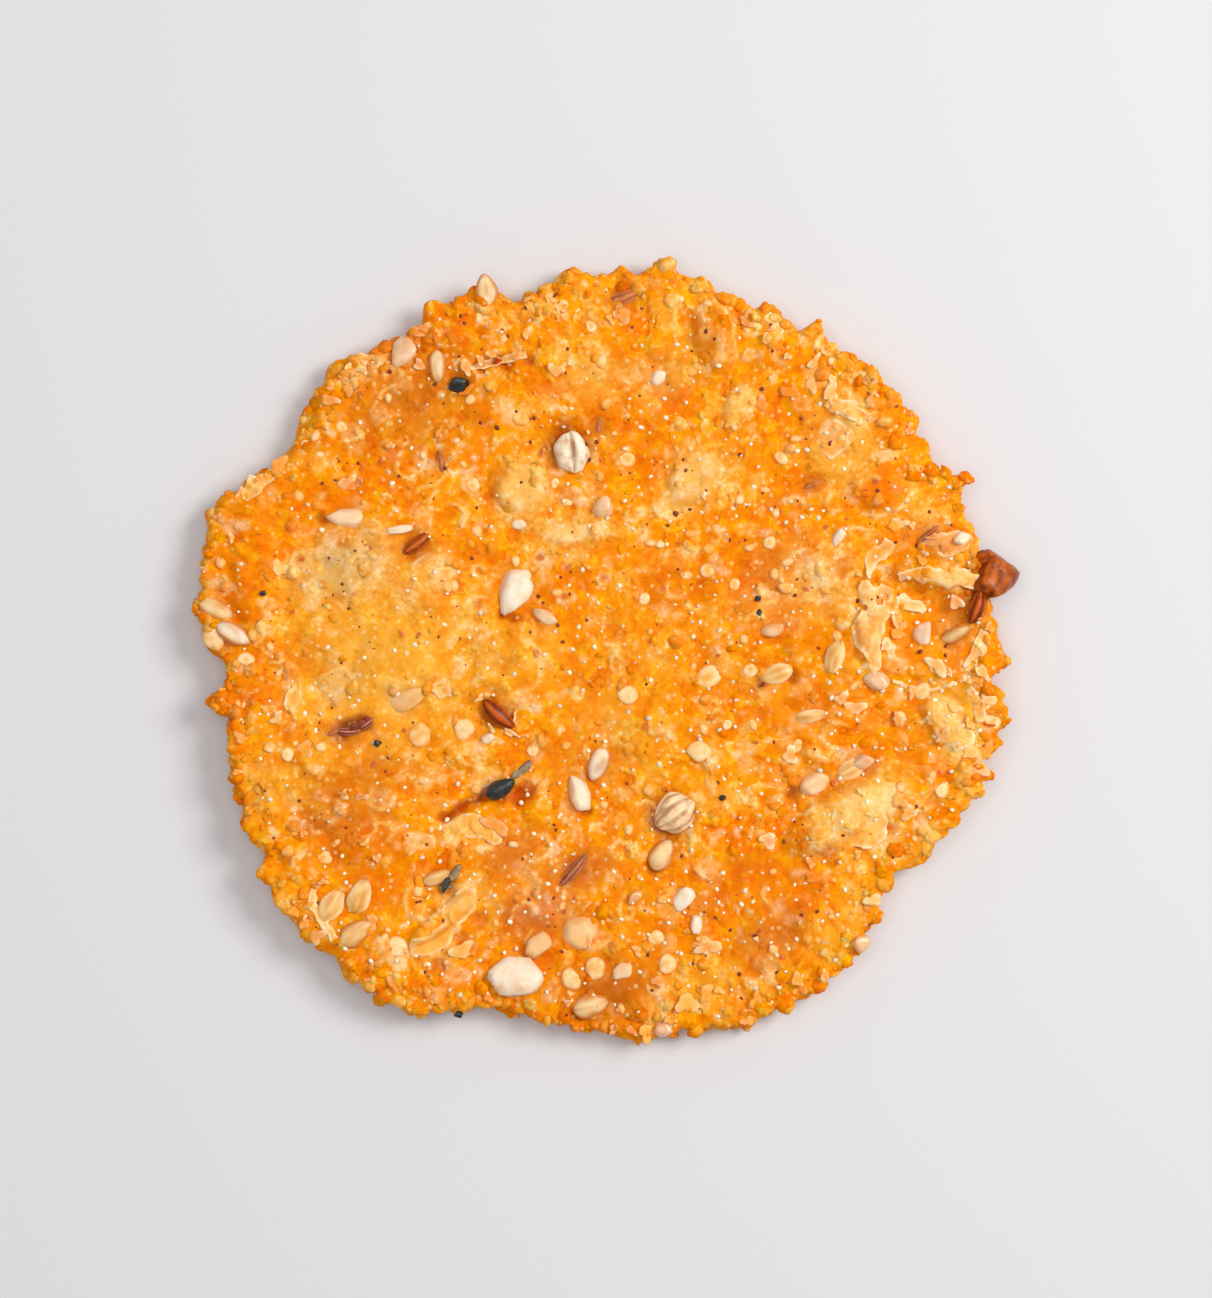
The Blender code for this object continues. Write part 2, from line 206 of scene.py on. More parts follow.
def warp_height(x, y):
    """Height in mm by which the sheet lifts towards its edge, more on some sides than on others."""
    angle = np.arctan2(y, x)
    rise = clamp((edge_share(x, y) - FLAT_SHARE) / (1 - FLAT_SHARE))
    wave = 1 + 0.45 * np.cos(2 * angle - 0.7) + 0.3 * np.cos(3 * angle + 1.2)
    return RIM_LIFT * wave * rise**1.6


def back_height(x, y):
    """Height of the back in mm: low spots that lie flat, and hollows between them."""
    flat = flat_points(x, y, 50.0)
    hollow = clamp(noise(flat, 7.0, 24) + 0.5 * noise(flat, 3.0, 25))
    away = clamp((np.hypot(x, y) - FLAT_SPOT) / 3)
    return warp_height(x, y) + HOLLOW_DEPTH * hollow * away


def plain_face_height(x, y):
    """Height of the seeded face in mm, without its grain. The sheet thins a little towards its edge."""
    edge = 1 - clamp((edge_share(x, y) - 0.86) / 0.14) ** 2
    sheet = THICKNESS * (0.82 + 0.18 * edge)
    return warp_height(x, y) + sheet + face_relief(x, y) * (0.55 + 0.45 * edge)


def bubbles(x, y, seed, count, smallest, largest, height):
    """Small domes at random places: their height in mm, and how much of their pale skin lies at a point."""
    draw = np.random.default_rng(seed)
    level, skin = np.zeros_like(x), np.zeros_like(x)
    for _ in range(count):
        turn, reach = draw.uniform(0, math.tau), 33.5 * math.sqrt(draw.uniform())
        radius = blend(smallest, largest, draw.uniform() ** 2.5)
        squash, lie, rise = draw.uniform(0.65, 1), draw.uniform(0, 180), draw.uniform(0.4, 1)
        middle = reach * math.cos(turn), reach * math.sin(turn)
        near = np.flatnonzero(np.maximum(np.abs(x - middle[0]), np.abs(y - middle[1])) < radius * 1.3)
        share = ellipse_reach(x[near], y[near], *middle, radius, radius * squash, lie)
        inside = clamp(1 - share**3)
        level[near] += height * rise * radius**0.7 * inside * inside * (3 - 2 * inside)
        level[near] -= 0.25 * height * np.exp(-(((share - 1.08) / 0.14) ** 2))
        skin[near] += rise * (0.55 * inside + 0.6 * np.exp(-(((share - 0.85) / 0.15) ** 2)))
    return level, clamp(skin)


# Caps of pale skin with a clear edge, where a blister is dry: (x, y, long, short radius, turn, strength)
PALE_CAPS = (
    (21.9, -13.1, 3.1, 1.7, 35, 0.95), (18.4, -15.5, 2.7, 1.4, 40, 0.35), (28.2, -5, 1.9, 1.3, -55, 0.8),
    (29.6, -7, 1.5, 1, 20, 0.9), (-7.2, 13.6, 2.4, 2, 30, 0.5), (-3.4, 10.2, 2.9, 0.9, 5, 0.75),
    (11, 20.8, 1.9, 1.2, 60, 0.6), (7.4, 14.7, 2.6, 1.8, 40, 0.45), (5, 12.6, 1.5, 1, 30, 0.5),
    (19.2, 18.3, 1.6, 1.5, 0, 0.55), (17.3, -8.4, 0.7, 0.6, 0, 0.6), (-26.5, -3.8, 1.3, 0.8, 70, 0.5),
    (-14.6, 6.8, 1.7, 1.5, 0, 0.4), (-22.9, -2.4, 1.1, 1, 0, 0.4), (-20.7, 24.3, 1.9, 1.2, 10, 0.5),
    (-12.6, -20.4, 1.6, 1, 40, 0.5), (2.2, 23.5, 1.6, 1, 20, 0.35), (20.6, 20, 1.8, 0.8, -15, 0.5),
    (30.4, -9.4, 1.6, 1, -30, 0.4), (17.2, 6.9, 1.9, 1.4, 10, 0.35),
)
# Rings that burst bubbles left: (x, y, radius in mm, squash, turn, start and sweep in degrees)
RINGS = (
    (-16.7, 16.3, 1.6, 0.65, 70, 0, 340), (-7.2, 13.6, 2.5, 0.85, 30, 150, 190),
    (1.5, 16.4, 0.8, 0.9, 0, 60, 220), (-14.6, 6.8, 1.8, 0.95, 0, 100, 170),
    (-22.9, -2.4, 1.2, 0.9, 0, 0, 300), (5.3, 12.4, 1.4, 0.7, 20, 0, 320),
    (8.9, 26.4, 3, 0.6, 100, 200, 200), (23.2, 13.9, 2.8, 0.75, 30, 180, 150),
    (-11.4, 14.2, 0.8, 0.9, 0, 0, 330), (12.8, 27.4, 1.8, 0.8, 0, -60, 230),
    (-9.3, -1, 3.5, 0.9, 0, -60, 120), (31.9, -5.8, 0.8, 0.9, 0, 0, 330), (-11, 4.2, 0.8, 0.8, 0, 20, 280),
    (-10.9, 6.9, 0.5, 0.9, 0, 0, 320), (-17.8, 20.6, 2.6, 0.7, 40, 30, 130),
    (-3.9, 4.7, 0.5, 0.8, 40, 0, 330), (-5.7, 8, 0.6, 0.8, 0, 40, 300), (-0.4, 6.3, 0.4, 0.9, 0, 0, 340),
    (16.8, 6.7, 2.4, 0.8, 10, 60, 170), (-1.4, -23.2, 1.7, 0.95, 0, 200, 140),
    (10.9, 20.8, 1.7, 0.65, 60, 150, 180),
)
SPARE_RINGS = 110
RING_WIDTH = 0.18


def uneven(x, y, seed, push):
    """The places moved about by noise at 1.4 and 0.6 mm, which makes what is drawn at them ragged."""
    flat = flat_points(x, y, seed)
    return (
        x + push * (noise(flat, 1.4, seed) + 0.5 * noise(flat, 0.6, seed + 1)),
        y + push * (noise(flat, 1.4, seed + 2) + 0.5 * noise(flat, 0.6, seed + 3)),
    )


def dry_caps(x, y):
    """How much of a dry cap lies at each place, 0 to 1: the cover of an ellipse with a soft edge."""
    edge_width = 0.28
    cover = np.zeros_like(x)
    for *ellipse, strength in PALE_CAPS:
        edge = clamp((1.05 - ellipse_reach(x, y, *ellipse)) * ellipse[3] / edge_width)
        cover = np.maximum(cover, strength * edge)
    return cover


def rings(x, y, seed, named):
    """How much of a ring lies at each place, 0 to 1: exp(-((share - 1) radius / width)^2) in its sweep.

    The share is how far out the place lies on the ring's ellipse. The spare rings are at random places.
    """
    draw = np.random.default_rng(seed)
    turn, out = draw.uniform(0, math.tau, SPARE_RINGS), 31 * np.sqrt(draw.uniform(0, 1, SPARE_RINGS))
    ranges = (0.4, 1.3), (0.55, 1), (0, 180), (0, 360), (70, 300)  # radius, squash, turn, start, sweep
    spare = np.stack([
        out * np.cos(turn), out * np.sin(turn), *(draw.uniform(*ends, SPARE_RINGS) for ends in ranges),
    ], axis=1)
    cover = np.zeros_like(x)
    for middle_x, middle_y, radius, squash, lie, start, sweep in (*named, *spare):
        near = np.flatnonzero(np.maximum(np.abs(x - middle_x), np.abs(y - middle_y)) < radius + 0.8)
        share = ellipse_reach(x[near], y[near], middle_x, middle_y, radius, radius * squash, lie)
        angle = np.degrees(np.arctan2(y[near] - middle_y, x[near] - middle_x)) - lie - start
        fade = clamp(np.minimum(angle % 360, sweep - angle % 360) / 30)
        cover[near] = np.maximum(cover[near], fade * np.exp(-(((share - 1) * radius / RING_WIDTH) ** 2)))
    return cover


def lattice_squares(x, y, cell, seed, numbers):
    """The nine squares of a lattice round each place, one after another: the way in mm to the place from a
    random spot in the square, and the square's own random numbers, which come again after 64 squares."""
    table = np.random.default_rng(seed).uniform(size=(64, 64, numbers))
    column, row = np.floor(x / cell).astype(int), np.floor(y / cell).astype(int)
    for step_x, step_y in np.ndindex(3, 3):
        at_x, at_y = column + step_x - 1, row + step_y - 1
        own = table[at_x % 64, at_y % 64].T
        yield x - (at_x + own[0]) * cell, y - (at_y + own[1]) * cell, own


def flecks(x, y, cell, seed, smallest, largest):
    """Pale grains that lie flush in the skin: how much of one lies at each place, 0 to 1.

    Each square of a lattice holds one, at a random place in it. Its radius swells and shrinks round it with
    the second, third and fifth harmonic, and its edge is 0.22 mm wide.
    """
    cover = np.zeros_like(x)
    for away_x, away_y, own in lattice_squares(x, y, cell, seed, 7):
        angle, lobes = np.arctan2(away_y, away_x), np.ones_like(x)
        for harmonic, share, phase in ((2, 0.26, own[3]), (3, 0.16, own[4]), (5, 0.1, own[5])):
            lobes += share * np.cos(harmonic * angle + math.tau * phase)
        radius = blend(smallest, largest, own[2] ** 2)
        share = np.hypot(away_x, away_y) / (radius * lobes)
        cover = np.maximum(cover, own[6] * clamp((1.1 - share) * radius / 0.22))
    return cover


def shards(x, y, cell, seed):
    """Scales of skin that overlap: which level each place's own scale has, -1 to 1, and how near its edge is.

    Each square of a lattice holds one middle, at a random spot in it, and a place belongs to the nearest.
    The nearness is exp(-(gap / 0.16 mm)^2), where the gap is half of how much further the second one is.
    """
    nearest, second, level = np.full_like(x, 99.0), np.full_like(x, 99.0), np.zeros_like(x)
    for away_x, away_y, own in lattice_squares(x, y, cell, seed, 3):
        away = np.hypot(away_x, away_y)
        closer = away < nearest
        second = np.where(closer, nearest, np.minimum(second, away))
        nearest = np.where(closer, away, nearest)
        level = np.where(closer, 2 * own[2] - 1, level)
    return level, np.exp(-(((second - nearest) / 0.32) ** 2))


def skin_grain(x, y, seed):
    """Height in mm of what is finer than the solid's relief, how pale it leaves the skin, from -1 to 1, and
    how much of a grain or a dry cap lies there."""
    flat = flat_points(x, y, seed)
    share = np.hypot(x, y) / 33
    craggy = clamp((share - 0.84) / 0.12)
    large, large_skin = bubbles(x, y, seed, count=110, smallest=0.8, largest=2.2, height=0.20)
    small, small_skin = bubbles(x, y, seed + 1, count=330, smallest=0.35, largest=0.9, height=0.13)
    ragged_x, ragged_y = uneven(x, y, seed + 6, push=0.22)
    ring = rings(ragged_x, ragged_y, seed + 7, RINGS if seed == FACE_SEED else ())
    coarse = flecks(ragged_x, ragged_y, cell=2.7, seed=seed + 8, smallest=0.35, largest=1.15)
    fine = flecks(ragged_x, ragged_y, cell=1.2, seed=seed + 9, smallest=0.12, largest=0.5)
    caps = dry_caps(*uneven(x, y, seed + 10, push=0.3)) if seed == FACE_SEED else np.zeros_like(x)
    caps = np.maximum(caps, 0.7 * ring)
    bent_x, bent_y = uneven(x, y, seed + 11, push=0.75)
    scale, scale_edge = shards(bent_x, bent_y, cell=2.4, seed=seed + 12)
    billow = 0.35 - np.abs(noise(flat, 1.5, seed + 4))
    height = large + small + 0.09 * ring + 0.07 * coarse + 0.05 * fine + 0.12 * caps
    height += (0.05 + 0.36 * craggy) * billow + 0.07 * scale + 0.05 * scale_edge * np.sign(scale)
    pale = 0.35 * large_skin + 0.3 * small_skin + 0.5 * ring - 0.34
    pale += 0.3 * noise(flat, 1.3, seed + 5) + 0.2 * noise(flat, 0.7, seed + 3)
    pale += 0.34 * scale + 0.45 * scale_edge * scale
    return height, pale, clamp(np.maximum(0.75 * coarse, 0.85 * fine)), caps


def disc_from_square(u, v):
    """Moves the points of a square from -1 to 1 onto the unit disc, ring by ring, with even cells."""
    ring = np.maximum(np.abs(u), np.abs(v))
    wide = np.abs(u) >= np.abs(v)
    safe = np.where(ring < 1e-9, 1.0, np.where(wide, u, v))
    turn = np.where(wide, v, u) / safe * math.pi / 4
    angle = np.where(wide, turn, math.pi / 2 - turn)
    radius = np.where(wide, u, v)
    return radius * np.cos(angle), radius * np.sin(angle)


def disc_points(cells):
    """Even grid over the disc inside the rounded rim, in mm: rows of x and y."""
    steps = np.linspace(-1, 1, cells + 1)
    u, v = (part.ravel() for part in np.meshgrid(steps, steps, indexing="ij"))
    x, y = disc_from_square(u, v)
    inner = outline_radius(np.arctan2(y, x)) - RIM_BULGE
    return x * inner, y * inner


def grid_triangles(cells):
    """Triangles of a grid with its points in rows, facing up. Each square is cut outwards from the middle, so
    that none is cut into slivers where the disc's grid bends at its diagonals."""
    row, column = np.divmod(np.arange(cells * cells), cells)
    at = row * (cells + 1) + column
    quads = np.stack([at, at + cells + 1, at + cells + 2, at + 1], axis=1)
    crossing = (2 * row + 1 - cells) * (2 * column + 1 - cells) < 0
    quads[crossing] = np.roll(quads[crossing], 1, axis=1)
    return split_quads(quads)


def border_points(cells):
    """The grid's outer points in turn, anticlockwise from its first corner."""
    side = np.arange(cells)
    row = cells + 1
    last = cells * row
    return np.concatenate([side * row, last + side, last + cells - side * row, cells - side])


def split_quads(quads):
    """Two triangles for each four-sided face, cut from its first corner to its third."""
    return np.concatenate([quads[:, [0, 1, 2]], quads[:, [0, 2, 3]]])


def rim_points(face_rim):
    """Rows round the rim, from the face down to the back, in mm.

    The rim swells by cos(t)^0.7 and drops by sin(t), as t runs from a quarter turn up to a quarter turn
    down, and noise pushes it in and out.
    """
    x, y = face_rim
    angle = np.arctan2(y, x)
    tilt = np.linspace(math.pi / 2, -math.pi / 2, RIM_ROWS + 1)[1:, None]
    top, bottom = plain_face_height(x, y) + skin_grain(x, y, FACE_SEED)[0], back_height(x, y)
    height = blend(bottom, top, 0.5 + 0.5 * np.sin(tilt))
    bulge = RIM_BULGE * clamp(np.cos(tilt)) ** 0.7
    side = np.stack([x + bulge * np.cos(angle), y + bulge * np.sin(angle), height], axis=-1)
    rough = side.reshape(-1, 3)
    push = 0.25 * noise(rough, 1.6, 31) + 1.5 * (np.abs(noise(rough, 2.3, 34)) - 0.22)
    push += 0.35 * (0.3 - np.abs(noise(rough, 1.2, 32))) + 0.1 * noise(rough, 0.5, 33)
    push = push.reshape(height.shape) * np.cos(tilt * 0.96)
    side[..., 0] += push * np.cos(angle)
    side[..., 1] += push * np.sin(angle)
    side[..., 2] += 0.35 * push * np.cos(tilt)
    return side.reshape(-1, 3)


def screen(red, green, blue):
    """A colour read off a screen, 0 to 255, as the linear colour that a material takes."""
    level = np.array([red, green, blue]) / 255
    return np.where(level > 0.04045, ((level + 0.055) / 1.055) ** 2.4, level / 12.92)


DEEP_DOUGH = screen(238, 122, 0)
FRIED_DOUGH = screen(247, 151, 0)
CRACK_RED = screen(160, 52, 4)
PALE_DOUGH = screen(252, 190, 88)
YELLOW_DOUGH = screen(250, 176, 50)
GREY_DOUGH = screen(232, 176, 102)
DRY_SKIN = screen(252, 200, 122)
GRAIN_CREAM = screen(252, 210, 142)
RED_DOUGH = screen(246, 118, 0)
MAUVE_DOUGH = screen(214, 112, 40)
BROWN_FRY_AND_SHADOW = screen(208, 106, 16)
# Parts of the face that are fried more or less, and two brown ones that are in part painted shadow:
# (x, y, long, short radius in mm, turn, colour, strength)
TONES = (
    (-19, -0.5, 10, 8.5, 100, screen(250, 179, 58), 0.75),
    (-22.3, 7.4, 4.2, 3, 25, screen(226, 174, 98), 0.95), (-22.9, -2.4, 1.4, 1.3, 0, GREY_DOUGH, 0.8),
    (-17.3, -3.7, 1.7, 1.3, 10, GREY_DOUGH, 0.7), (-14.6, 6.8, 1.9, 1.7, 0, PALE_DOUGH, 0.5),
    # The brown part at (-16, 21.5) is in part painted shadow.
    (-12, 3.6, 1.7, 0.9, 25, PALE_DOUGH, 0.6), (-16, 21.5, 6.8, 4.6, 20, BROWN_FRY_AND_SHADOW, 0.7),
    (-29, 8, 5.5, 2.8, 80, RED_DOUGH, 0.3), (-21.5, -12.5, 4.6, 5.4, 130, BROWN_FRY_AND_SHADOW, 0.4),
    (-20, -17, 4.2, 2.8, 0, DEEP_DOUGH, 0.5), (-28, -11, 3.2, 5.2, 110, YELLOW_DOUGH, 0.6),
    (-8, 0, 4.2, 3.6, 0, YELLOW_DOUGH, 0.6), (-7.2, 13.6, 2.7, 2.3, 30, PALE_DOUGH, 0.75),
    (-3, 10.2, 4, 1.7, 5, PALE_DOUGH, 0.7), (-1, 23, 3.2, 2.2, 0, PALE_DOUGH, 0.45),
    (4.5, 23.2, 2.8, 2.2, 20, PALE_DOUGH, 0.4), (7.4, 14.7, 3.4, 2.7, 40, PALE_DOUGH, 0.7),
    (11, 20.8, 2.3, 1.5, 60, PALE_DOUGH, 0.75), (20, 18, 3.4, 4.2, 0, PALE_DOUGH, 0.5),
    (8.7, 26.2, 3.2, 2, 100, BROWN_FRY_AND_SHADOW, 0.5), (5, 6, 4.2, 3.2, 0, DEEP_DOUGH, 0.55),
    (15, -5, 4.2, 3.2, 0, DEEP_DOUGH, 0.5), (11, -19, 4.2, 3.2, 0, DEEP_DOUGH, 0.5),
    (16, -21, 4.2, 3, 0, DEEP_DOUGH, 0.5), (23.2, 13.9, 2.7, 1.9, 30, RED_DOUGH, 0.8),
    (26, 12.9, 2.2, 1.7, 0, YELLOW_DOUGH, 0.4), (17, 6.4, 4.4, 3.4, 0, GREY_DOUGH, 0.42),
    (12.5, 3.9, 2.8, 2.1, 0, GREY_DOUGH, 0.3), (12.5, -2, 2.8, 2, 0, YELLOW_DOUGH, 0.5),
    (20.8, -13.3, 4.9, 2.2, 35, PALE_DOUGH, 0.95), (0.5, -7, 5.5, 5, 0, YELLOW_DOUGH, 0.4),
    (2, 0.5, 4.5, 3.5, 0, YELLOW_DOUGH, 0.3), (16.5, -1, 4.5, 4, 0, FRIED_DOUGH, 0.4),
    (17, -11, 2.2, 1.6, 0, PALE_DOUGH, 0.45), (29.5, -5, 3.6, 4.2, 100, YELLOW_DOUGH, 0.65),
    (29.8, -7.4, 1.5, 0.8, 20, PALE_DOUGH, 0.9), (-8, -17, 3.6, 2.6, 20, MAUVE_DOUGH, 0.6),
    (-3, -18.6, 3.4, 2.1, 20, MAUVE_DOUGH, 0.65), (-6, -21.8, 4.4, 2.4, 10, MAUVE_DOUGH, 0.9),
    (14, -24, 3.6, 2.6, 30, MAUVE_DOUGH, 0.65), (-23.5, -14, 3.2, 2.2, 0, MAUVE_DOUGH, 0.5),
    (-12.5, -20.2, 2.4, 1.5, 20, PALE_DOUGH, 0.5), (-14.3, -24.8, 2, 1.6, 0, PALE_DOUGH, 0.5),
    # The brown part at (0.5, -28.2) is in part painted shadow along the bottom edge.
    (0.5, -28.2, 5.4, 3.2, 0, BROWN_FRY_AND_SHADOW, 0.85), (8, -28, 3.4, 2.2, 0, YELLOW_DOUGH, 0.6),
    (20, -23, 3.4, 2.4, 30, YELLOW_DOUGH, 0.5), (26.3, 9.8, 3.2, 1.8, 10, RED_DOUGH, 0.45),
    (28.4, 9, 2.2, 1.2, 15, MAUVE_DOUGH, 0.7), (-18.5, 25.5, 3.4, 2.2, 20, MAUVE_DOUGH, 0.5),
    (1.4, 30, 2.2, 1.1, 20, BROWN_FRY_AND_SHADOW, 0.7), (26.3, 2.6, 3.8, 3.3, 0, screen(254, 156, 10), 0.8),
)
FACE_SEED, BACK_SEED = 41, 71


def dough_colour(x, y, pale, grains, caps, seed, tones):
    """Colour of the dough: deep, plain or pale by the grain and by slow noise, then the named parts over it,
    then the grains and the dry caps. The fourth number says how mottled it is, less where a part is named."""
    flat = flat_points(x, y, seed)
    slow = 0.6 * noise(flat, 8.0, seed) + 0.45 * noise(flat, 3.2, seed + 1)
    tone = np.clip(0.9 * pale + 0.8 * slow, -1, 1)[:, None]
    colour = np.where(tone < 0, blend(FRIED_DOUGH, DEEP_DOUGH, -tone), blend(FRIED_DOUGH, PALE_DOUGH, tone))
    blur_x = x + 0.9 * noise(flat, 2.4, seed + 2)
    blur_y = y + 0.9 * noise(flat, 2.4, seed + 3)
    smooth = np.zeros_like(x)
    for *ellipse, shade, strength in tones:
        share = ellipse_reach(blur_x, blur_y, *ellipse)
        cover = clamp(strength * clamp(1.35 - share) ** 1.2)
        kept = shade * (1 + 0.25 * tone)
        colour = blend(colour, kept, cover[:, None])
        smooth = np.maximum(smooth, cover)
    grains = grains * (1 - 0.75 * smooth)
    colour = blend(colour, GRAIN_CREAM, grains[:, None] * (0.7 + 0.3 * tone))
    colour = blend(colour, DRY_SKIN, caps[:, None])
    if tones:
        bent = uneven(x, y, seed + 4, push=0.3)
        for crack in CRACKS:
            dark = clamp(-1.7 * groove(*bent, crack) / crack[3] - 0.5)
            colour = blend(colour, CRACK_RED, dark[:, None])
    mottled = (1 - 0.75 * smooth) * np.clip(0.85 + 0.5 * noise(flat, 6.0, seed + 5), 0.35, 1)
    return np.column_stack([np.clip(colour, 0.0006, 0.98), mottled])


def make_piece(name, points, triangles, colours, material, slot):
    """A mesh from points in mm about the disc's middle, with a colour for each, riding on the cracker."""
    points = (np.asarray(points, float).reshape(-1, 3) + (*DISC_CENTRE, 0)) * MM
    triangles = np.asarray(triangles, np.int32).reshape(-1, 3)
    mesh = bpy.data.meshes.new(name)
    mesh.vertices.add(len(points))
    mesh.vertices.foreach_set("co", points.ravel())
    mesh.loops.add(triangles.size)
    mesh.loops.foreach_set("vertex_index", triangles.ravel())
    mesh.polygons.add(len(triangles))
    mesh.polygons.foreach_set("loop_start", np.arange(0, triangles.size, 3, dtype=np.int32))
    mesh.polygons.foreach_set("use_smooth", np.ones(len(triangles), bool))
    tint = mesh.attributes.new("tint", "FLOAT_COLOR", "POINT")
    colours = np.asarray(colours, float)
    colours = colours.reshape(-1, colours.shape[-1])
    full = np.ones((len(points), 4))
    full[:, :colours.shape[1]] = colours
    tint.data.foreach_set("color", full.ravel())
    mesh.update()
    mesh.materials.append(material)
    piece = bpy.data.objects.new(name, mesh)
    bpy.context.scene.collection.objects.link(piece)
    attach(piece, "root")
    return piece


def plain_material(name, **values):
    """A new material with its tree and shader. Each named value is the same all over the surface."""
    material = bpy.data.materials.new(name)
    material.use_nodes = True
    shader = material.node_tree.nodes["Principled BSDF"]
    for socket, value in values.items():
        shader.inputs[socket.replace("_", " ")].default_value = value
    return material, material.node_tree, shader


def wire(tree, kind, settings=(), by_place=(), **by_name):
    """Adds a node with its settings. Each input, given by its place or name, is set to a value or joined to
    another node's socket."""
    node = tree.nodes.new(kind)
    for name, value in dict(settings).items():
        setattr(node, name, value)
    for key, value in (*by_place, *((name.replace("_", " "), value) for name, value in by_name.items())):
        if isinstance(value, bpy.types.NodeSocket):
            tree.links.new(value, node.inputs[key])
        else:
            node.inputs[key].default_value = value
    return node


def mixed(tree, factor, first, second, way="MIX"):
    """Colour that goes from first to second by the factor."""
    settings = {"data_type": "RGBA", "blend_type": way}
    return wire(tree, "ShaderNodeMix", settings, ((0, factor), (6, first), (7, second))).outputs[2]


def stepped(tree, value, low, high, start=0.0, end=1.0):
    """The value's range from low to high, spread smoothly from start to end."""
    smooth = {"interpolation_type": "SMOOTHSTEP"}
    spread = zip(("From Min", "From Max", "To Min", "To Max"), (low, high, start, end))
    return wire(tree, "ShaderNodeMapRange", smooth, spread, Value=value).outputs[0]


def times(tree, first, second):
    """The product of two sockets, or of a socket and a number."""
    return wire(tree, "ShaderNodeMath", {"operation": "MULTIPLY"}, enumerate((first, second))).outputs[0]


def fine_noise(tree, place, scale, detail, roughness=0.5, distortion=0.0):
    """Noise from 0 to 1 that turns over once in about 1 / scale metres."""
    return wire(tree, "ShaderNodeTexNoise", Vector=place, Scale=scale, Detail=detail, Roughness=roughness,
                Distortion=distortion)


def bumped(tree, shader, layers):
    """Gives the shader bumps, one on the other, from each layer's height, strength and depth in mm."""
    below = {}
    for height, strength, depth in layers:
        bump = wire(tree, "ShaderNodeBump", Height=height, Strength=strength, Distance=depth * MM, **below)
        below = {"Normal": bump.outputs[0]}
    tree.links.new(below["Normal"], shader.inputs["Normal"])


def scale_pattern(tree, place, scale, push):
    """Scales of skin about 1 / scale metres across, with their outlines pushed about by noise.

    Gives three sockets: two random numbers of each scale, and how near its outline is, from 0 to 1.
    """
    shove = fine_noise(tree, place, 1.4 * scale, detail=1.5).outputs["Color"]
    centred = (0, shove), (1, (0.5, 0.5, 0.5))
    centred = wire(tree, "ShaderNodeVectorMath", {"operation": "SUBTRACT"}, centred).outputs[0]
    pushed = (0, centred), (1, (push / scale,) * 3), (2, place)
    bent = wire(tree, "ShaderNodeVectorMath", {"operation": "MULTIPLY_ADD"}, pushed).outputs[0]
    cells = wire(tree, "ShaderNodeTexVoronoi", Vector=bent, Scale=scale, Randomness=1.0)
    rims = wire(tree, "ShaderNodeTexVoronoi", {"feature": "DISTANCE_TO_EDGE"}, Vector=bent, Scale=scale,
                Randomness=1.0)
    parts = wire(tree, "ShaderNodeSeparateColor", Color=cells.outputs["Color"])
    return parts.outputs[0], parts.outputs[1], stepped(tree, rims.outputs["Distance"], 0.12, 0.02)


# What the dough's tint is multiplied by where it is fried more, where it is dry, and in a crease, as painted
# shade
DEEPER, PALER, CREASE_SHADE = (0.95, 0.77, 0.12, 1), (1.02, 1.24, 2.05, 1), (0.8, 0.52, 0.06, 1)
PALEST_DOUGH = screen(255, 213, 138)
OIL_DOT = screen(255, 226, 160)


def mottled_by(tree, colour, value, low, high, share):
    """The colour, made deeper as the value falls through low, and paler as it rises through high."""
    for (start, end), tone in ((low, DEEPER), (high, PALER)):
        colour = mixed(tree, stepped(tree, value, start, end, 0.0, share), colour, tone, "MULTIPLY")
    return colour


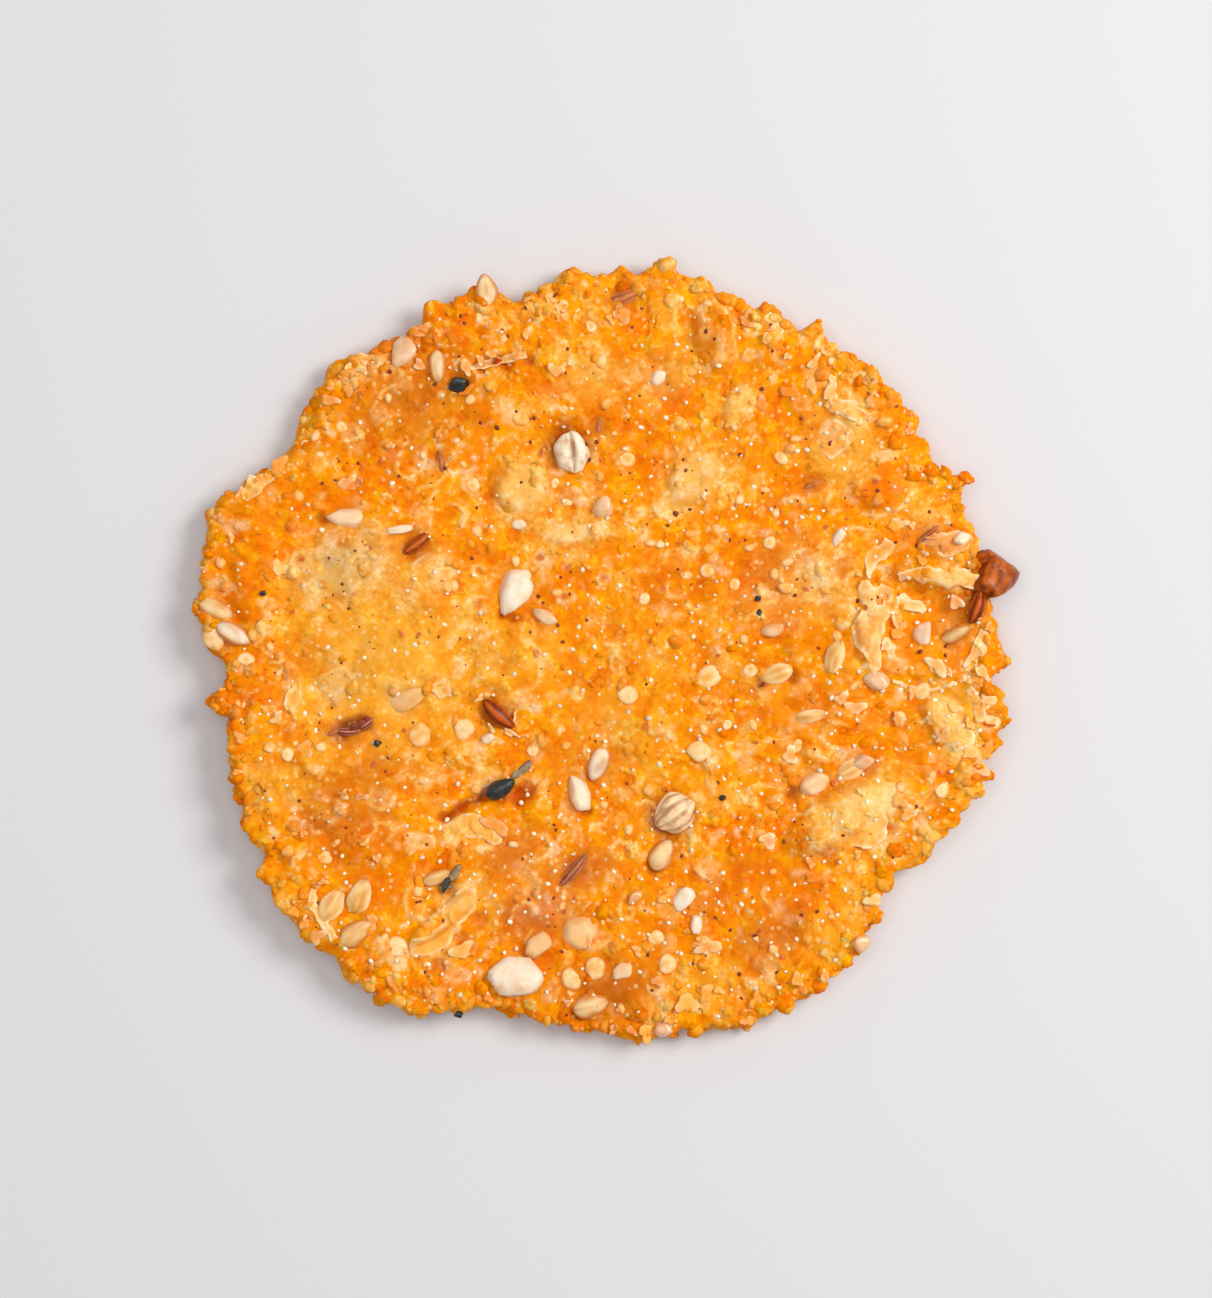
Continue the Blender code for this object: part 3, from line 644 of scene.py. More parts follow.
def dough_material():
    """Fried dough: its own tint, mottled by noise at 2.6 mm, 1 mm and 0.4 mm, in scales, with pale dots.

    Where the noise is low the tint is multiplied towards deep orange, and where it is high towards pale skin,
    but nowhere past cream. The same goes for the scales and their outlines, and some outlines are darkened
    as painted shade in a crease. Dots lie at the middles of a third of the cells of a Voronoi pattern. Light
    soaks in 0.8 mm.
    """
    material, tree, shader = plain_material(
        "fried rice dough", Specular_IOR_Level=0.03, Subsurface_Weight=0.3,
        Subsurface_Radius=(1.0, 0.35, 0.08), Subsurface_Scale=0.8 * MM,
    )
    place = tree.nodes.new("ShaderNodeTexCoord").outputs["Object"]
    own = wire(tree, "ShaderNodeAttribute", {"attribute_name": "tint"})
    tint, mottled = own.outputs["Color"], own.outputs["Alpha"]
    slow, mottle, grain = (
        fine_noise(tree, place, scale, detail=detail, distortion=distortion).outputs["Fac"]
        for scale, detail, distortion in ((380.0, 2.0, 0.3), (950.0, 2.0, 0.5), (2400.0, 1.0, 0.3))
    )
    cells = wire(tree, "ShaderNodeTexVoronoi", Vector=place, Scale=1500.0, Randomness=1.0)
    number = wire(tree, "ShaderNodeSeparateColor", Color=cells.outputs["Color"]).outputs[0]
    dot = times(tree, stepped(tree, cells.outputs["Distance"], 0.34, 0.16), stepped(tree, number, 0.62, 0.66))
    colour = mottled_by(tree, tint, slow, (0.50, 0.36), (0.53, 0.66), 0.35)
    colour = mottled_by(tree, colour, mottle, (0.49, 0.38), (0.54, 0.62), 0.5)
    for scale, push in ((620.0, 1.1), (1150.0, 1.0)):
        level, kind, outline = scale_pattern(tree, place, scale, push)
        colour = mottled_by(tree, colour, level, (0.35, 0.1), (0.65, 0.9), 0.5)
        # Lines along the scale outlines: paler ones, and darker ones that are painted shade in a crease.
        for kinds, patches, strength, tone in (
            ((0.4, 0.5), (0.4, 0.6), 0.95, PALER), ((0.2, 0.1), (0.6, 0.4), 0.6, CREASE_SHADE),
        ):
            line = times(tree, outline, stepped(tree, kind, *kinds))
            line = times(tree, line, stepped(tree, mottle, *patches))
            colour = mixed(tree, times(tree, line, strength), colour, tone, "MULTIPLY")
    colour = mottled_by(tree, colour, grain, (0.46, 0.36), (0.56, 0.66), 0.5)
    colour = mixed(tree, stepped(tree, mottled, 0.0, 1.0, 0.3, 1.0), tint, colour)
    colour = mixed(tree, 1.0, colour, (*PALEST_DOUGH, 1), "DARKEN")
    colour = mixed(tree, times(tree, dot, 0.4), colour, (*OIL_DOT, 1))
    tree.links.new(colour, shader.inputs["Base Color"])
    tree.links.new(stepped(tree, mottle, 0.3, 0.7, 0.36, 0.56), shader.inputs["Roughness"])
    bumped(tree, shader, ((mottle, 0.3, 0.16), (level, 0.35, 0.1), (grain, 0.3, 0.05), (dot, 0.4, 0.05)))
    return material


def crust_surface():
    """Points, triangles and colours of the whole crust: the face, the rim, and the back with half as many
    cells, whose edge is sewn to the rim by three triangles for each of its own."""
    face_x, face_y = disc_points(FACE_CELLS)
    grain, *skin = skin_grain(face_x, face_y, FACE_SEED)
    face_z = plain_face_height(face_x, face_y) + grain
    border = border_points(FACE_CELLS)
    rim = rim_points((face_x[border], face_y[border]))
    back_cells = FACE_CELLS // 2
    back_x, back_y = disc_points(back_cells)
    back_grain, *back_skin = skin_grain(back_x, back_y, BACK_SEED)
    off_rim = clamp((0.985 - edge_share(back_x, back_y)) / 0.03)
    back_z = back_height(back_x, back_y)
    free = clamp(back_z / 0.3) * off_rim
    back_z = np.maximum(back_z - 0.7 * back_grain * free, 0)
    points = np.concatenate([
        np.stack([face_x, face_y, face_z], axis=1), rim, np.stack([back_x, back_y, back_z], axis=1),
    ])
    around = len(border)
    rows = np.concatenate([border, len(face_x) + np.arange(len(rim))]).reshape(-1, around)
    after = np.roll(rows, -1, axis=1)
    band = np.stack([rows[:-1], rows[1:], after[1:], after[:-1]], axis=-1).reshape(-1, 4)
    start = len(face_x) + len(rim)
    fine, fine_next = rows[-1].reshape(-1, 2).T, np.roll(rows[-1], -2).reshape(-1, 2).T
    coarse = start + border_points(back_cells)
    coarse_next = np.roll(coarse, -1)
    seam = np.concatenate([
        np.stack([fine[0], coarse, fine[1]], axis=1),
        np.stack([fine[1], coarse, coarse_next], axis=1),
        np.stack([fine[1], coarse_next, fine_next[0]], axis=1),
    ])
    triangles = np.concatenate([
        grid_triangles(FACE_CELLS), split_quads(band), seam, (start + grid_triangles(back_cells))[:, ::-1],
    ])
    rim_grain = noise(rim, 0.8, 35) + 0.7 * noise(rim, 0.4, 36)
    plain = np.zeros_like(rim_grain)
    rim_tones = tuple(tone for tone in TONES if tone[5] is not YELLOW_DOUGH)
    colours = np.concatenate([
        dough_colour(face_x, face_y, *skin, FACE_SEED, TONES),
        # Rim paler than the face's grain, as painted light against its shade, and redder, partly as painted
        # warm shade.
        dough_colour(rim[:, 0], rim[:, 1], 0.9 * rim_grain - 0.1, plain, plain, FACE_SEED, rim_tones)
        * (1, 0.94, 0.8, 1),
        dough_colour(back_x, back_y, *back_skin, BACK_SEED, ()),
    ])
    return points, triangles, colours


crust = make_piece("crust", *crust_surface(), dough_material(), "crust")
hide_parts("cracker")


pressed = []  # (x, y, reach) of each dent, so that fine grains aren't laid over it
LOWEST_DENT = 1.2  # mm above the table: what lies lower belongs to the crust's back


def held(rows, name, width):
    """The numbers that a mesh holds under a name for each of its points, as rows of that width."""
    numbers = np.empty(len(rows) * width)
    rows.foreach_get(name, numbers)
    return numbers.reshape(-1, width)


def press_in(places, reach, depth, stain_and_shade, darkness):
    """Presses a ragged dent into the crust at each place, a row that starts with its x and y, and stains it:
    both fade as exp(-(distance / reach)^4), read at places that noise moves about. Round most toppings the
    stain is in part painted shade at their foot."""
    pressed.extend((x, y, reach) for x, y, *_ in places)
    mesh, tint = crust.data, crust.data.attributes["tint"].data
    points, tints = held(mesh.vertices, "co", 3), held(tint, "color", 4)
    x, y = (points[:, :2] / MM - DISC_CENTRE).T
    x, y = uneven(x, y, 37, push=0.3)
    for middle_x, middle_y, *_ in places:
        near = np.flatnonzero(np.maximum(np.abs(x - middle_x), np.abs(y - middle_y)) < 2 * reach)
        near = near[points[near, 2] > LOWEST_DENT * MM]
        fade = np.exp(-(np.hypot(x[near] - middle_x, y[near] - middle_y) / reach) ** 4)
        points[near, 2] -= depth * MM * fade
        tints[near, :3] += (stain_and_shade - tints[near, :3]) * (darkness * fade)[:, None]
    mesh.vertices.foreach_set("co", points.ravel())
    tint.foreach_set("color", tints.ravel())
    mesh.update()


# Sesame seeds
# Whole hulled seeds, toasted cream to amber, pointed at one end. They are mixed into the dough, so the
# pressed sheet holds them flat in its face with the skin drawn up round them.

# (x, y, turn in degrees, length, width in mm, how amber)
SESAME = (
    (-33, 3.7, -26, 3.2, 1.9, 0.3), (-31.5, 1.6, -30, 3.2, 1.8, 0), (-14.4, 24.1, 272, 2.8, 1.6, 0.2),
    (-0.9, -9.4, 250, 3, 2, 0), (4.5, -17, 60, 2.9, 2.1, 0.25), (-23.2, -21.1, 60, 3.2, 2, 0.6),
    (-20.9, -20.4, 70, 3.1, 2, 0.65), (-21.2, -23.5, 35, 3.2, 2.1, 0.35), (-14.4, -18.9, 20, 2.7, 1.3, 0.4),
    (-1.5, -29.7, 15, 3.1, 2.1, 0.3), (19.1, -0.2, 72, 3.1, 1.7, 0.6), (14.1, -1.8, 200, 3, 1.7, 0.6),
    (17.1, -5.3, 10, 2.7, 1.2, 0.55), (29.3, 1.6, 25, 2.9, 1.4, 0.35), (20.6, -9.7, 30, 3, 1.7, 0.7),
    (-10.3, 30.6, 100, 2.8, 1.9, 0.15),
)
SESAME_DEPTH = 0.32  # share of its length that a seed is deep
HULLED = screen(240, 222, 198)
AMBER = screen(222, 138, 38)
SEED_TIP = screen(184, 100, 32)
AMBER_EDGE = screen(208, 118, 34)
HULL_EDGE = screen(251, 218, 162)


def closed_bodies(rings, start, end):
    """Points and triangles of closed bodies: rings, (bodies, rings, points, 3), with a point at either end.

    Four-sided faces join each ring to the next, and fans of triangles join the end points to theirs.
    """
    count, rows, around, _ = rings.shape
    size = rows * around + 2
    grid = np.arange(rows * around).reshape(rows, around) + 1
    after = np.roll(grid, -1, axis=1)
    band = np.stack([grid[:-1], after[:-1], after[1:], grid[1:]], axis=-1).reshape(-1, 4)
    first, last = np.zeros(around, int), np.full(around, size - 1)
    one = np.concatenate([
        np.stack([first, after[0], grid[0]], axis=1), split_quads(band),
        np.stack([last, grid[-1], after[-1]], axis=1),
    ])
    triangles = (one[None] + size * np.arange(count)[:, None, None]).reshape(-1, 3)
    points = np.concatenate([start[:, None], rings.reshape(count, -1, 3), end[:, None]], axis=1)
    return points, triangles


def with_ends(values, end=0.0):
    """A number for each point of some closed bodies: those of their rings, and one number for both ends."""
    return np.pad(values.reshape(len(values), -1), ((0, 0), (1, 1)), constant_values=end)


def noise_on(bodies, cell, seed):
    """Noise read at the points of some bodies."""
    return noise(bodies.reshape(-1, 3), cell, seed).reshape(bodies.shape[:-1])


def surface_level(x, y):
    """Height in mm of the seeded face with its grain."""
    return plain_face_height(x, y) + skin_grain(x, y, FACE_SEED)[0]


def laid(forms, x, y, turn, lift, back=False):
    """Sets forms, (bodies, points, 3), on the face or the back.

    Each is turned about its upright, tipped to the slope of the sheet there, and set at the sheet's height
    plus its lift. A form whose middle is out on the rounded rim takes the height at the rim's start.
    """
    x, y, turn, lift = (np.broadcast_to(np.asarray(part, float), len(forms)) for part in (x, y, turn, lift))
    angle = np.arctan2(y, x)
    reach = np.minimum(np.hypot(x, y), outline_radius(angle) - RIM_BULGE)
    at_x, at_y = reach * np.cos(angle), reach * np.sin(angle)
    sheet = back_height if back else plain_face_height
    step, steepest = 0.7, 0.5  # mm to either side where the sheet's slope is read, and the most that counts
    slope_x = (sheet(at_x + step, at_y) - sheet(at_x - step, at_y)) / (2 * step)
    slope_y = (sheet(at_x, at_y + step) - sheet(at_x, at_y - step)) / (2 * step)
    slope_x, slope_y = np.clip(slope_x, -steepest, steepest), np.clip(slope_y, -steepest, steepest)
    facing = -1.0 if back else 1.0
    up = np.stack([-slope_x, -slope_y, np.ones_like(x)], axis=1) * facing
    up /= np.linalg.norm(up, axis=1)[:, None]
    c, s = np.cos(np.radians(turn)), np.sin(np.radians(turn))
    along = np.stack([c, s, slope_x * c + slope_y * s], axis=1)
    along /= np.linalg.norm(along, axis=1)[:, None]
    across = np.cross(up, along)
    level = back_height(at_x, at_y) - lift if back else surface_level(at_x, at_y) + lift
    middle = np.stack([x, y, level], axis=1)
    axes = np.stack([along, across, up], axis=1)
    return middle[:, None] + np.einsum("bpi,bij->bpj", forms, axes)


def seed_bodies(length, width, depth, taper, blunt, rows=12, around=14):
    """Seeds along X: the half width is sin(pi t)^blunt (1 - taper t), with an elliptical cross-section."""
    t = (1 - np.cos(math.pi * (np.arange(rows) + 1) / (rows + 1))) / 2
    round_turn = math.tau * np.arange(around) / around
    swell = np.sin(math.pi * t) ** blunt * (1 - taper * t)
    swell = (swell / swell.max())[None, :, None]
    length, width, depth = (np.asarray(part, float)[:, None, None] for part in (length, width, depth))
    along = np.broadcast_to((t[None, :, None] - 0.5) * length, (len(length), rows, around))
    rings = np.stack([
        along, swell * width / 2 * np.cos(round_turn), swell * depth / 2 * np.sin(round_turn),
    ], axis=-1)
    half = length[:, 0] / 2
    none = np.zeros_like(half)
    ends = np.concatenate([half, none, none], axis=1)
    return rings, -ends, ends


def food_material(name, roughness, gloss, mottle_scale, shade, bump, soak=0.0, glow=(1.0, 0.6, 0.35),
                  depth=0.6):
    """Seed, nut or husk: the surface's own tint, darkened in patches by noise, with a faint uneven skin.

    By the share in soak the light goes in, to the depth in mm times the red, green and blue of glow.
    """
    material, tree, shader = plain_material(
        name, Specular_IOR_Level=gloss, Subsurface_Weight=soak, Subsurface_Radius=glow,
        Subsurface_Scale=depth * MM,
    )
    place = tree.nodes.new("ShaderNodeTexCoord").outputs["Object"]
    tint = wire(tree, "ShaderNodeAttribute", {"attribute_name": "tint"}).outputs["Color"]
    mottle = fine_noise(tree, place, mottle_scale, detail=5.0, roughness=0.6, distortion=0.4).outputs["Fac"]
    colour = mixed(tree, stepped(tree, mottle, 0.56, 0.32, 0.0, 0.8), tint, (*shade, 1), "MULTIPLY")
    tree.links.new(colour, shader.inputs["Base Color"])
    tree.links.new(stepped(tree, mottle, 0.3, 0.7, roughness, roughness + 0.16), shader.inputs["Roughness"])
    bumped(tree, shader, ((mottle, bump, 0.12),))
    return material


def sesame_seeds():
    """Seeds: opaque ones with an amber outline, and clear ones with a pale one round an amber middle."""
    x, y, turn, length, width, amber = np.array(SESAME, float).T
    rings, start, end = seed_bodies(length, width, SESAME_DEPTH * length, taper=0.36, blunt=0.5, around=20)
    side = 1 + 0.05 * np.sin(3 * rings[..., 0] + x[:, None, None])
    rings[..., 1] *= side
    edge = with_ends(np.abs(rings[..., 1]) / np.abs(rings[..., 1]).max(axis=2, keepdims=True), 1.0)
    points, triangles = closed_bodies(rings, start, end)
    share = points[..., 0] / (length[:, None] / 2)
    body = HULLED ** (1 - 0.8 * amber[:, None, None]) * AMBER ** (0.8 * amber[:, None, None])
    tip = clamp((share - 0.62) / 0.38)[..., None] ** 1.5
    rim = clamp((edge - 0.5) / 0.3)[..., None]
    clear = clamp((amber[:, None, None] - 0.35) / 0.2)
    outline = blend(AMBER_EDGE, HULL_EDGE, clear)
    blotch = noise_on(points * (0.45, 1.6, 1.0) + x[:, None, None], 0.6, 47)[..., None]
    colours = blend(body, AMBER_EDGE, np.clip(blotch, 0, 0.8))
    colours = blend(colours, HULL_EDGE, np.clip(-1.2 * blotch, 0, 0.8))
    colours = blend(blend(colours, outline, 0.85 * rim), SEED_TIP, 0.8 * tip)
    return laid(points, x, y, turn, lift=-0.17), triangles, colours


press_in([ring for ring in RINGS if ring[2] < 1], reach=0.42, depth=0.12, stain_and_shade=screen(206, 88, 4),
         darkness=0.75)
# Painted shade: a deep stain round the foot of each seed, and dark spots beside six of them, most at the
# lower left.
press_in(SESAME, reach=1.6, depth=0.14, stain_and_shade=DEEP_DOUGH * 0.85, darkness=0.35)
press_in([(-1.7, -10.4), (3.6, -18.0), (-24.4, -21.6), (15.4, -1.9), (12.8, -2.4), (-2.6, -30.4)],
         reach=0.7, depth=0.3, stain_and_shade=screen(170, 70, 6), darkness=0.7)
make_piece(
    "sesame_seeds", *sesame_seeds(),
    food_material("toasted sesame hull", roughness=0.26, gloss=0.25, soak=0.12, mottle_scale=900.0,
                  shade=(0.95, 0.82, 0.60), bump=0.25, glow=(1.0, 0.7, 0.5), depth=0.4),
    "pale_seed",
)

# Coriander seeds
# Two round ribbed seeds, split open by the press: a papery cream hull with brown lines between its ribs.
# They stick up furthest out of the dough, in a gap where it shrank away from them, darkened round them as
# painted shade.

# (x, y, turn in degrees, length, width in mm, ribs round it, depth of the split down its middle)
CORIANDER = ((-3.1, 16.9, 96, 3.5, 3, 0, 0.34), (5.6, -13.4, 38, 3.8, 3.2, 9, 0.05))
CORIANDER_DEPTH = 2.0
HULL_CREAM = screen(253, 236, 208)
HULL_LINE = screen(160, 92, 34)


def coriander_seeds():
    """Round seeds whose radius is multiplied by 1 + 0.045 cos(ribs turn) less a split along the top.

    Noise at 1.3 and 0.8 mm dents and stains the hull. It is brown in the furrows between the ribs and in the
    split, and the ribbed seed is more golden all over.
    """
    x, y, turn, length, width, ribs, split = np.array(CORIANDER, float).T
    depth = np.full_like(x, CORIANDER_DEPTH)
    rows, points_round = 20, 48
    rings, start, end = seed_bodies(length, width, depth, taper=0.08, blunt=0.5, rows=rows,
                                    around=points_round)
    around = math.tau * np.arange(points_round) / points_round
    wave = np.cos(ribs[:, None] * (around - math.pi / 2))[:, None, :]
    seam = np.exp(-((np.angle(np.exp(1j * (around - math.pi / 2))) / 0.17) ** 2))[None, None, :]
    swell = 1 + 0.045 * wave - split[:, None, None] * seam
    rings[..., 1:] *= swell[..., None]
    points, triangles = closed_bodies(rings, start, end)
    own = points + x[:, None, None]
    dents, stains = noise_on(own, 1.3, 73), noise_on(own * (0.6, 1.8, 1.0), 0.8, 74)
    points = points * (1 + 0.17 * dents + 0.05 * stains)[..., None]
    line = clamp(-wave * 1.5 - 0.25) * np.ones((1, rows, 1))
    cleft = clamp(2.4 * split)[:, None, None] * seam
    dark = with_ends(0.9 * line + cleft, 1.0)
    dark = dark * np.clip(0.6 + 0.9 * dents, 0.15, 1) + np.clip(0.7 * stains, 0, 0.5)
    colours = blend(HULL_CREAM, HULL_LINE, clamp(dark)[..., None])
    colours = colours * (1 - (ribs > 0)[:, None, None] * (0.02, 0.16, 0.34))
    return laid(points, x, y, turn, lift=(-0.05, -0.3)), triangles, colours


# Painted shade: a dark stain in the gap round each seed, set a little off its middle.
press_in([(-3.5, 17.4), (5.1, -13.9)], reach=2.1, depth=0.5, stain_and_shade=screen(150, 54, 8), darkness=0.85)
make_piece(
    "coriander_seeds", *coriander_seeds(),
    food_material("coriander hull", roughness=0.42, gloss=0.35, soak=0.12, mottle_scale=1400.0,
                  shade=(0.80, 0.58, 0.36), bump=0.4), "pale_seed",
)

# Nut and lentil pieces
# Broken cream pieces of cashew, peanut and split lentil, from 1.2 to 4.8 mm, with flat broken sides and
# rounded corners. The press has pushed them level with the dough.

# (x, y, turn in degrees, length, width, depth in mm, how golden)
NUTS = (
    (-7.9, 5.3, 68, 4.4, 2.7, 1.6, 0), (-7.8, -27.1, -8, 4.8, 3.7, 1.6, 0.1),
    (-22.1, 11.4, 8, 3.3, 1.8, 1.2, 0.5), (-2.5, -11.8, 105, 3.2, 1.9, 1.3, 0.2),
    (17.3, -11, 20, 3, 2.1, 1.3, 0.65), (-5.9, -24.6, 35, 2.6, 1.8, 0.9, 0.8),
    (4.2, 23.2, 30, 1.7, 1.3, 0.8, 0.2), (26.5, 1.6, 80, 2.1, 1.5, 1.2, 0.25),
    (19.4, 9.8, 55, 1.7, 1, 0.8, 0.1), (-17.6, 10.4, 8, 2.2, 0.8, 0.8, 0.35),
    (-5.3, 3, -30, 2.2, 1.1, 0.8, 0.55), (-7.5, 10.8, 0, 1.5, 0.9, 0.6, 0.35),
    (-2.6, -23.4, 0, 3.1, 2.9, 1, 0.85), (1.2, -26.8, 20, 1.9, 1.5, 0.8, 0.6),
    (29.6, 9.6, 30, 1.7, 1.2, 0.8, 0.2), (-10.2, -7.2, 20, 1.2, 0.9, 0.7, 0.3),
    (6.3, -20.7, 62, 2.5, 1.5, 0.9, 0), (7.4, -22.9, 80, 1.6, 1.1, 0.8, 0.15),
)
BACK_NUTS = (
    (-21, 15, 30, 3.4, 2.4, 1.4, 0.2), (18, 17.5, 100, 2.8, 2.2, 1.3, 0.3),
    (23.5, -11, 60, 2.4, 1.8, 1.2, 0.1), (-13, -23.5, 10, 3, 2, 1.3, 0.4),
)
NUT_WHITE = screen(246, 230, 208)
NUT_GOLD = screen(240, 182, 106)
NUT_EDGE = screen(220, 138, 56)


def broken_bodies(length, width, depth, seed, sides=6, rows=13, around=22, sharp=14):
    """Broken lumps, each the inside of a few random planes with rounded corners.

    The distance to the surface in a direction d is the sum over the planes of (d.n / h)^sharp, to the power
    -1 / sharp, where n is a plane's normal and h its distance. Sides stand round it, with a top and bevels.
    """
    draw = np.random.default_rng(seed)
    count = len(length)
    turn = math.tau * (np.arange(sides) + draw.uniform(-0.32, 0.32, (count, sides))) / sides
    turn += draw.uniform(0, math.tau, (count, 1))
    lean = draw.uniform(-0.15, 0.5, (count, sides))
    walls = np.stack([np.cos(turn) * np.cos(lean), np.sin(turn) * np.cos(lean), np.sin(lean)], axis=-1)
    loose = draw.normal(size=(count, 3, 3)) * (0.5, 0.5, 0.3) + (0, 0, 1)
    loose[:, 2] = (0, 0, -1)
    planes = np.concatenate([walls, loose], axis=1)
    planes /= np.linalg.norm(planes, axis=-1)[..., None]
    distance = draw.uniform(0.8, 1.0, (count, sides + 3))
    t = math.pi * (np.arange(rows) + 1) / (rows + 1)
    round_turn = math.tau * np.arange(around) / around
    ways = np.stack(np.broadcast_arrays(
        np.sin(t)[:, None] * np.cos(round_turn), np.sin(t)[:, None] * np.sin(round_turn), np.cos(t)[:, None],
    ), axis=-1).reshape(-1, 3)
    ways = np.concatenate([[(0, 0, 1.0)], ways, [(0, 0, -1.0)]])
    facing = np.clip(np.einsum("pk,bsk->bps", ways, planes) / distance[:, None], 0, None)
    reach = np.clip((facing**sharp).sum(axis=-1), 1e-6, None) ** (-1 / sharp)
    points = ways * np.clip(reach, 0, 1.35)[..., None]
    points *= np.stack([length, width, depth], axis=1)[:, None] / 2
    rings = points[:, 1:-1].reshape(count, rows, around, 3)
    crease = 1 - facing.max(axis=-1) * np.clip(reach, 0, 1.35)
    return closed_bodies(rings, points[:, 0], points[:, -1]), clamp(crease * 9)


def joined(*groups):
    """Several groups of bodies as one: their points, which stay above the table, triangles and colours."""
    points, triangles, colours, made = [], [], [], 0
    for group_points, group_triangles, group_colours in groups:
        points.append(group_points.reshape(-1, 3))
        triangles.append(group_triangles + made)
        colours.append(group_colours.reshape(-1, 3))
        made += len(points[-1])
    points = np.concatenate(points)
    points[:, 2] = np.maximum(points[:, 2], 0.01)
    return points, np.concatenate(triangles), np.concatenate(colours)


def nuts_on(places, back):
    """Nut pieces on the face or the back: broken lumps, dented by 0.09 of noise at 1.1 mm.

    They are white to gold. Their creases, their low parts and streaks of noise go on towards brown.
    """
    x, y, turn, length, width, depth, gold = np.array(places, float).T
    (points, triangles), crease = broken_bodies(length, width, depth, seed=51 + back, sides=6, sharp=17)
    dents = noise_on(points, 1.1, 53)
    points = points * (1 + 0.09 * dents)[..., None]
    low = clamp(0.4 - points[..., 2] / depth[:, None])
    streaks = noise_on(points * (0.3, 1.6, 1.0), 0.9, 54)
    gilt = clamp(0.35 * crease + 1.2 * low + 0.3 * dents + 0.4 * streaks)
    colours = blend(blend(NUT_WHITE, NUT_GOLD, gold[:, None, None]), NUT_EDGE, gilt[..., None])
    lift = 0.22 - depth / 2 if back else -0.2 * depth
    return laid(points, x, y, turn, lift, back), triangles, colours


# Painted shade: a deep stain round the foot of each nut, and dark spots at the lower left of four of them.
for x, y, _, length, *_ in NUTS:
    press_in([(x - 0.1, y - 0.1)], reach=0.6 * length, depth=0.06 * length, stain_and_shade=DEEP_DOUGH * 0.85,
             darkness=0.4)
press_in([(-9.0, 3.3), (-8.0, 3.0), (-2.0, -13.3), (-24.1, 11.3), (15.6, -11.8)], reach=0.55, depth=0.3,
         stain_and_shade=screen(160, 58, 4), darkness=0.75)
make_piece(
    "nut_pieces", *joined(nuts_on(NUTS, False), nuts_on(BACK_NUTS, True)),
    food_material("cashew and lentil", roughness=0.34, gloss=0.4, soak=0.2, mottle_scale=1100.0,
                  shade=(0.96, 0.86, 0.68), bump=0.45), "nut",
)

# Clear starch drops
# Grains of rice that burst in the hot oil. Their starch ran out and set as glassy grey-pink drops in the
# skin, some of them with a film of dough over them.

# (x, y, turn in degrees, length, width, depth in mm, share of dough over it)
CLEAR_DROPS = (
    (-17.2, 25.3, 60, 2.7, 2.1, 1.1, 0), (-0.5, 12.3, 80, 1.9, 1.6, 0.9, 0.15),
    (21.4, -9.2, 20, 2, 1.3, 0.8, 0.1), (22.6, -2.4, -20, 2.1, 1.4, 0.9, 0),
    (21.3, -24.4, 0, 1.5, 1.4, 1, 0.1), (4.5, -31.7, 10, 1.5, 1.2, 0.9, 0),
    (13.9, 1.9, 5, 1.9, 1.1, 0.7, 0.25), (-17, -4, 15, 2.6, 1.8, 0.35, 0.65),
    (2.2, -20.6, 50, 1.3, 0.9, 0.6, 0.2),
)
DROP_GREY = screen(240, 204, 164)
DROP_PINK = screen(238, 178, 130)


def clear_drops():
    """Lumps with soft corners, grey to pink one after another and in their creases, veiled by their dough."""
    x, y, turn, length, width, depth, veil = np.array(CLEAR_DROPS, float).T
    (points, triangles), crease = broken_bodies(length, width, depth, seed=57, sides=5, sharp=7)
    pink = 0.6 * np.linspace(0, 1, len(x))[:, None, None] + 0.5 * crease[..., None]
    colours = blend(DROP_GREY, DROP_PINK, clamp(pink))
    colours = blend(colours, blend(YELLOW_DOUGH, GREY_DOUGH, 0.5), veil[:, None, None])
    return laid(points, x, y, turn, lift=0.06 - 0.1 * veil), triangles, colours


press_in(CLEAR_DROPS, reach=1.3, depth=0.15, stain_and_shade=BROWN_FRY_AND_SHADOW, darkness=0.35)
make_piece(
    "clear_starch_drops", *clear_drops(),
    food_material("clear starch", roughness=0.16, gloss=0.6, soak=0.55, mottle_scale=800.0,
                  shade=(0.86, 0.72, 0.58), bump=0.2), "nut",
)

# Brown seeds and cumin
# Three glossy brown seeds, one of them at the right edge, and slim ridged cumin seeds, whole or broken. Some
# are drowned in the skin so that only a purple-brown back shows.

# (x, y, turn in degrees, length, width, depth in mm, lift in mm, share of skin over it)
BROWN_SEEDS = (
    (-9.3, -5.2, -42, 3.5, 1.6, 1.2, 0.1, 0), (30.9, 3.9, 72, 3.1, 1.3, 1.2, 0.2, 0),
    (-16, 9.3, 40, 3.1, 1.2, 1, -0.22, 0.15),
)
CUMIN = (
    (-2.9, -18.3, 50, 3.8, 0.9, 0.9, 0.05, 0), (-20.4, -5.9, 35, 1.7, 0.7, 0.8, -0.25, -0.35),
    (-21.9, -6.6, 0, 2.2, 0.7, 0.8, -0.28, -0.3), (-23.2, -6.7, 30, 1.2, 0.5, 0.6, -0.2, 0.2),
    (1.4, 30, 20, 3.2, 1.2, 1, -0.25, 0.35), (-0.8, 19.2, 82, 1.7, 0.7, 0.6, -0.18, 0.45),
    (17.2, 14.2, 25, 1.6, 0.6, 0.5, -0.12, 0.6), (-14.1, 16.2, 100, 2.2, 0.8, 0.7, -0.22, 0.5),
    (26.9, 10, 38, 2.5, 0.5, 0.5, 0, 0.25),
)
BACK_CUMIN = (
    (-24, -6, 70, 3.6, 1.1, 0.9, -0.25, 0.1), (6.5, 24, 15, 3.4, 1, 0.9, -0.25, 0.1),
    (19.5, -17, 130, 3.6, 1, 0.9, -0.25, 0.1),
)
SEED_BROWN = screen(206, 92, 12)
SEED_DARK = screen(108, 38, 4)
CUMIN_RIDGE = screen(212, 134, 92)
CUMIN_DARK = screen(134, 66, 44)
VEILED = screen(220, 128, 48)


